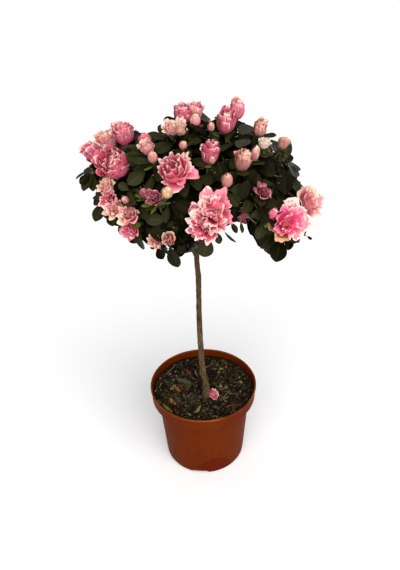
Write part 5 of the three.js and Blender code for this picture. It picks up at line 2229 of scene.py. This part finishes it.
FORM_RINGS = {
    Form.WRAPPED: (
        Ring(3, 1.3, 1.06, 0.42, 0.93, 0, 0.02, 0.12, 0.04),
        Ring(3, 1.3, 0.9, 0.26, 1, 0, 0.02, 0.1, 0.04),
        Ring(3, 1.3, 0.55, 0.1, 1.03, 0, 0.02, 0.08, 0.03),
    ),
    Form.BARREL: (
        Ring(5, 0.8, 0.94, 0.86, 0.72, 0.12, 0.07, 0.14, 0.24),
        Ring(5, 0.86, 0.86, 0.72, 0.9, 0.08, 0.1, 0.14, 0.2),
        Ring(4, 1, 0.66, 0.5, 1, 0.04, 0.12, 0.12),
        Ring(3, 1.2, 0.4, 0.22, 1, 0.02, 0.1),
    ),
    Form.CUP: (
        Ring(5, 0.9, 0.82, 1, 0.74, 0.12, 0.08),
        Ring(5, 0.9, 0.74, 0.8, 0.88, 0.06, 0.1),
        Ring(5, 0.9, 0.54, 0.56, 0.97, 0.03, 0.12),
        Ring(4, 0.95, 0.3, 0.3, 0.97, 0, 0.12),
    ),
    Form.GLOBE: (
        Ring(6, 0.74, 1, 0.98, 0.68, 0.08, 0.1, 0.1, 0.2),
        Ring(6, 0.76, 0.92, 0.84, 0.88, 0.05, 0.11, 0.1, 0.18),
        Ring(5, 0.84, 0.72, 0.6, 0.98, 0.03, 0.12, 0.1, 0.18),
        Ring(4, 0.95, 0.48, 0.36, 0.96, 0, 0.13),
        Ring(3, 1.1, 0.25, 0.16, 0.9, 0, 0.08),
    ),
    Form.ROSE: (
        Ring(5, 0.7, 0.64, 1.04, 0.44, 0.14, 0.2, 0.1, 0.26, 0.7),
        Ring(5, 0.82, 0.8, 0.86, 0.7, 0.07, 0.13, 0.1, 0.2, 0.7),
        Ring(4, 0.95, 0.62, 0.54, 0.86, 0.02, 0.1, 0.08, 0.16),
        Ring(3, 1.1, 0.36, 0.26, 0.9, 0, 0.1),
    ),
    Form.FACE: (
        Ring(5, 0.84, 0.52, 1, 0.4, 0.1, 0.1, 0.06, 0.16, 0.5),
        Ring(5, 0.72, 0.44, 0.78, 0.62, 0.06, 0.11, 0.07, 0.2, 0.6),
        Ring(3, 0.95, 0.28, 0.42, 0.7, 0.03, 0.12, 0.08, 0.2, 0.6),
        Ring(2, 1.2, 0.14, 0.16, 0.66, 0, 0.1),
    ),
    Form.FRILLED: (
        Ring(5, 0.84, 0.56, 1, 0.5, 0.12, 0.17, 0.1, 0.24, 0.8),
        Ring(5, 0.76, 0.46, 0.8, 0.76, 0.07, 0.18, 0.1, 0.26, 0.9),
        Ring(4, 0.8, 0.3, 0.5, 0.9, 0.03, 0.18, 0.1, 0.24, 0.9),
        Ring(2, 1.2, 0.14, 0.18, 0.88, 0, 0.14),
    ),
    Form.RUFFLED: (
        Ring(5, 0.9, 0.58, 0.98, 0.58, 0.1, 0.14, 0.1, 0.24, 0.8),
        Ring(5, 0.84, 0.48, 0.8, 0.82, 0.07, 0.16, 0.1, 0.24, 0.9),
        Ring(5, 0.8, 0.32, 0.54, 0.95, 0.03, 0.17, 0.1, 0.24, 0.9),
        Ring(4, 0.95, 0.18, 0.26, 0.98, 0, 0.15, 0.08, 0.2, 0.9),
        Ring(3, 1.2, 0.08, 0.08, 0.92, 0, 0.1),
    ),
}


RING_TURN = 0.62  # how far each ring of petals is turned from the one outside it
FOOT_SHARE = 0.16  # a petal's foot, as a share of the bloom's half width
DROP = 0.11  # how much lower a petal's corners are than its middle
BUD_DROP = 0.22


def bloom_petals(bloom: Bloom, number: int) -> list[tuple[Petal, int]]:
    """Return a bloom's petals, each with the number of its ring, from the outside in.

    Args:
        bloom: The bloom.
        number: The number behind the bloom's own chances.

    Returns:
        The petals.
    """
    half, tall = bloom.width / 2, bloom.height
    turn = 6 * chance(number, 1, 61)
    made = []
    for r, ring in enumerate(FORM_RINGS[bloom.shape]):
        for i in range(ring.count):
            vary, lift, phase = (chance(number, r, i, 60 + n) for n in range(3))
            petal = Petal(
                bearing=turn + r * RING_TURN + (i + ring.stray * vary) * 2 * math.pi / ring.count,
                spread=ring.spread * between(0.92, 1.08, vary),
                foot=half * FOOT_SHARE,
                belly=half * ring.belly,
                rim=half * ring.rim * between(1 - ring.uneven, 1 + ring.uneven * 0.6, vary),
                top=tall * ring.top * between(1 - ring.uneven, 1 + ring.uneven * 0.5, lift),
                roll=half * ring.roll * between(0.4, 1.6, lift),
                ruffle=half * ring.ruffle,
                phase=6 * phase,
                skew=half * ring.skew,
                drop=BUD_DROP if bloom.kind is BloomKind.BUD else DROP,
            )
            made.append((petal, r))
    return made


@dataclass
class Blooms:
    """Every bloom of the crown, and the spent one on the soil."""

    finish: SoftFinish = SoftFinish(
        roughness=0.6, specular=0.12, grain_scale=500, grain_depth=0.1, glow=0.3
    )
    zones: Triple = (0.6, 0.8, 0.92)
    uneven: float = 0.03
    stray: Span = (-0.13, 0.07)
    coarse_grid: tuple[int, int] = (9, 9)
    fine_grid: tuple[int, int] = (15, 19)
    open_grid: tuple[int, int] = (16, 25)
    papery: tuple[str, ...] = ("papery", "papery", "papery", "cream")
    papery_toward: Triple = (-1, 0, -0.4)
    fallen_px: Pixel = (213, 394)
    fallen: Bloom = Bloom(BloomKind.HALF, 14.5, 12, Tint.BRIGHT, Form.CUP)
    fallen_way: Triple = (0.45, -0.35, 0.8)

    # How much farther down the rim's colours reach.
    MARGINS: ClassVar[dict[Form, float]] = {
        Form.FRILLED: 0.03,
        Form.ROSE: 0.03,
        Form.CUP: 0.03,
        Form.FACE: -0.015,
    }

    def add(self, maker: MeshMaker, tip: Tip, is_fine: bool) -> None:
        """Add one bloom's petals.

        Args:
            maker: The piece that takes them.
            tip: The tip that carries the bloom.
            is_fine: True for a bloom that the front shows.
        """
        order = [colour.name.lower() for colour in PetalColour]
        palette = np.array([order.index(name) for name in tip.bloom.tint.value])
        papery = np.array([order.index(name) for name in self.papery])
        petals = bloom_petals(tip.bloom, tip.index)
        toward = point(*self.papery_toward)
        outer = [petal for petal, ring in petals if ring == 0]
        outer.sort(key=lambda petal: -float(tip.side(petal.bearing) @ toward))
        turned = [id(petal) for petal in outer[: tip.bloom.papery]]
        grid = self.coarse_grid
        if is_fine:
            grid = self.open_grid if tip.bloom.kind is BloomKind.OPEN else self.fine_grid
        margin = self.MARGINS.get(tip.bloom.shape, 0)
        for number, (petal, _) in enumerate(petals):
            places, near_rim = petal.places(tip, grid)
            draw = np.random.default_rng(tip.index * 97 + number)
            shift = draw.uniform(-self.uneven, self.uneven, near_rim.shape) + draw.uniform(*self.stray)
            zone = np.digitize(near_rim + shift + margin, self.zones)
            maker.add_grid(places, (papery if id(petal) in turned else palette)[zone])

    def build(self, crown: Crown) -> None:
        """Make the petals, each kind of bloom in pieces of its own."""
        materials = in_colours("petal", PetalColour, self.finish)
        for kind in BloomKind:
            name = f"petals_{kind.value}"
            names = itertools.chain([name], (f"{name}_{number}" for number in itertools.count(2)))
            pieces = Pieces(names, materials, "bloom")
            for tip in crown.all_tips:
                if tip.bloom and tip.bloom.kind is kind:
                    self.add(pieces.last(), tip, not len(SHOWN_BLOOMS) <= tip.index < FIRST_FINE)
            pieces.build()

    def build_fallen(self, soil: Soil) -> None:
        """Lay the spent bloom on the soil."""
        at = VIEW.at_height(self.fallen_px, soil.top)
        at = VIEW.at_height(self.fallen_px, soil.height(at[0], at[1]) + 5)
        out = unit(point(*self.fallen_way))
        materials = in_colours("fallen", PetalColour, self.finish)
        maker = MeshMaker("fallen_petals", materials, "bloom")
        self.add(maker, Tip(at - out * 6, out, self.fallen, FIRST_FINE - 1), True)
        maker.build("fallen_bloom")


@dataclass
class Calyxes:
    """The green cup of narrow sepals under every bloom, and the scales round its stalk."""

    sepals: int = 5
    longest: float = 7.5
    length_share: float = 0.45
    width_share: float = 0.36
    seat_share: float = 0.2
    sepal_way: Span = (0.75, 0.8)
    scales: int = 2
    scale_size: Span = (6, 3)
    scale_down: float = 3
    scale_way: Span = (0.55, 0.7)
    green: SoftFinish = SoftFinish((0.13, 0.15, 0.035), 0.5, 0.4)
    brown: SoftFinish = SoftFinish((0.22, 0.12, 0.04), 0.6, 0.3)

    def build(self, crown: Crown) -> None:
        """Make the sepals as one piece."""
        materials = [self.green.material("sepal_green"), self.brown.material("scale_brown")]
        maker = MeshMaker("sepals", materials, "foliage")
        for tip in crown.all_tips:
            if tip.bloom is None:
                continue
            length = min(self.longest, self.length_share * tip.bloom.height)
            for turn in even_turn(self.sepals):
                side = tip.side(turn + tip.index)
                way = unit(side * self.sepal_way[0] + tip.out * self.sepal_way[1])
                root = tip.at + side * (tip.bloom.width / 2) * self.seat_share
                sepal = Blade(root, way, square_part(side, way), length, length * self.width_share, -0.12)
                maker.add_grid(sepal.places())
            for i in range(self.scales):
                side = tip.side(1 + i * GOLDEN + tip.index)
                way = unit(side * self.scale_way[0] + tip.out * self.scale_way[1])
                root = tip.at - tip.out * self.scale_down
                scale = Blade(root, way, square_part(side, way), *self.scale_size, 0.2)
                maker.add_grid(scale.places(), i)
        maker.build()


# The studio


@dataclass
class Studio:
    """A pale floor, a white surround and one large soft light."""

    floor_half: float = 60.0
    surround_strength: float = 0.42
    sun_strength: float = 3.55
    sun_spread: float = math.radians(75)
    sun_from: Triple = (0.2, -1.0, 0.87)

    def build(self) -> None:
        """Make the floor, the light and the camera."""
        self._build_floor()
        self._build_light()
        VIEW.make_camera()
        bpy.context.scene.view_settings.view_transform = "Standard"

    def _build_floor(self) -> None:
        """Lay the floor."""
        half = self.floor_half
        mesh = bpy.data.meshes.new("floor")
        corners = [(-half, -half, 0), (half, -half, 0), (half, half, 0), (-half, half, 0)]
        mesh.from_pydata(corners, [], [(0, 1, 2, 3)])
        wiring = Wiring("floor")
        grain = wiring.noise(40, 3)
        wiring.bump(grain, 0.05, 0.2)
        rough = grain * 0.1 + 0.75
        mesh.materials.append(wiring.finish({"Base Color": (0.96, 0.96, 0.96), "Roughness": rough}))
        show("floor", mesh)

    def _build_light(self) -> None:
        """Set the surround and hang the light."""
        world = bpy.data.worlds.new("surround")
        world.use_nodes = True
        back = world.node_tree.nodes["Background"]
        back.inputs["Color"].default_value = (1, 1, 1, 1)
        back.inputs["Strength"].default_value = self.surround_strength
        bpy.context.scene.world = world
        light = bpy.data.lights.new("sky_panel", "SUN")
        light.energy = self.sun_strength
        light.angle = self.sun_spread
        holder = show("sky_panel", light)
        holder.rotation_euler = (-Vector(self.sun_from)).to_track_quat("-Z", "Y").to_euler()


def main() -> None:
    """Build the plant from the pot up."""
    logging.basicConfig(level=logging.INFO, format="%(name)s: %(message)s")
    Studio().build()
    Pot().build()
    soil = Soil()
    soil.build()
    dome = Dome()
    crown = Crown(dome)
    LOG.info("crown: %d tips and %d finer ones", len(crown.tips), len(crown.fine_tips))
    Limbs(dome).build(crown.masses)
    Twigs().build(crown.masses)
    Leaves(dome).build(crown, [f"foliage_{mass.name}" for mass in crown.masses])
    blooms = Blooms()
    blooms.build(crown)
    blooms.build_fallen(soil)
    Calyxes().build(crown)


if __name__ == "__main__":
    main()
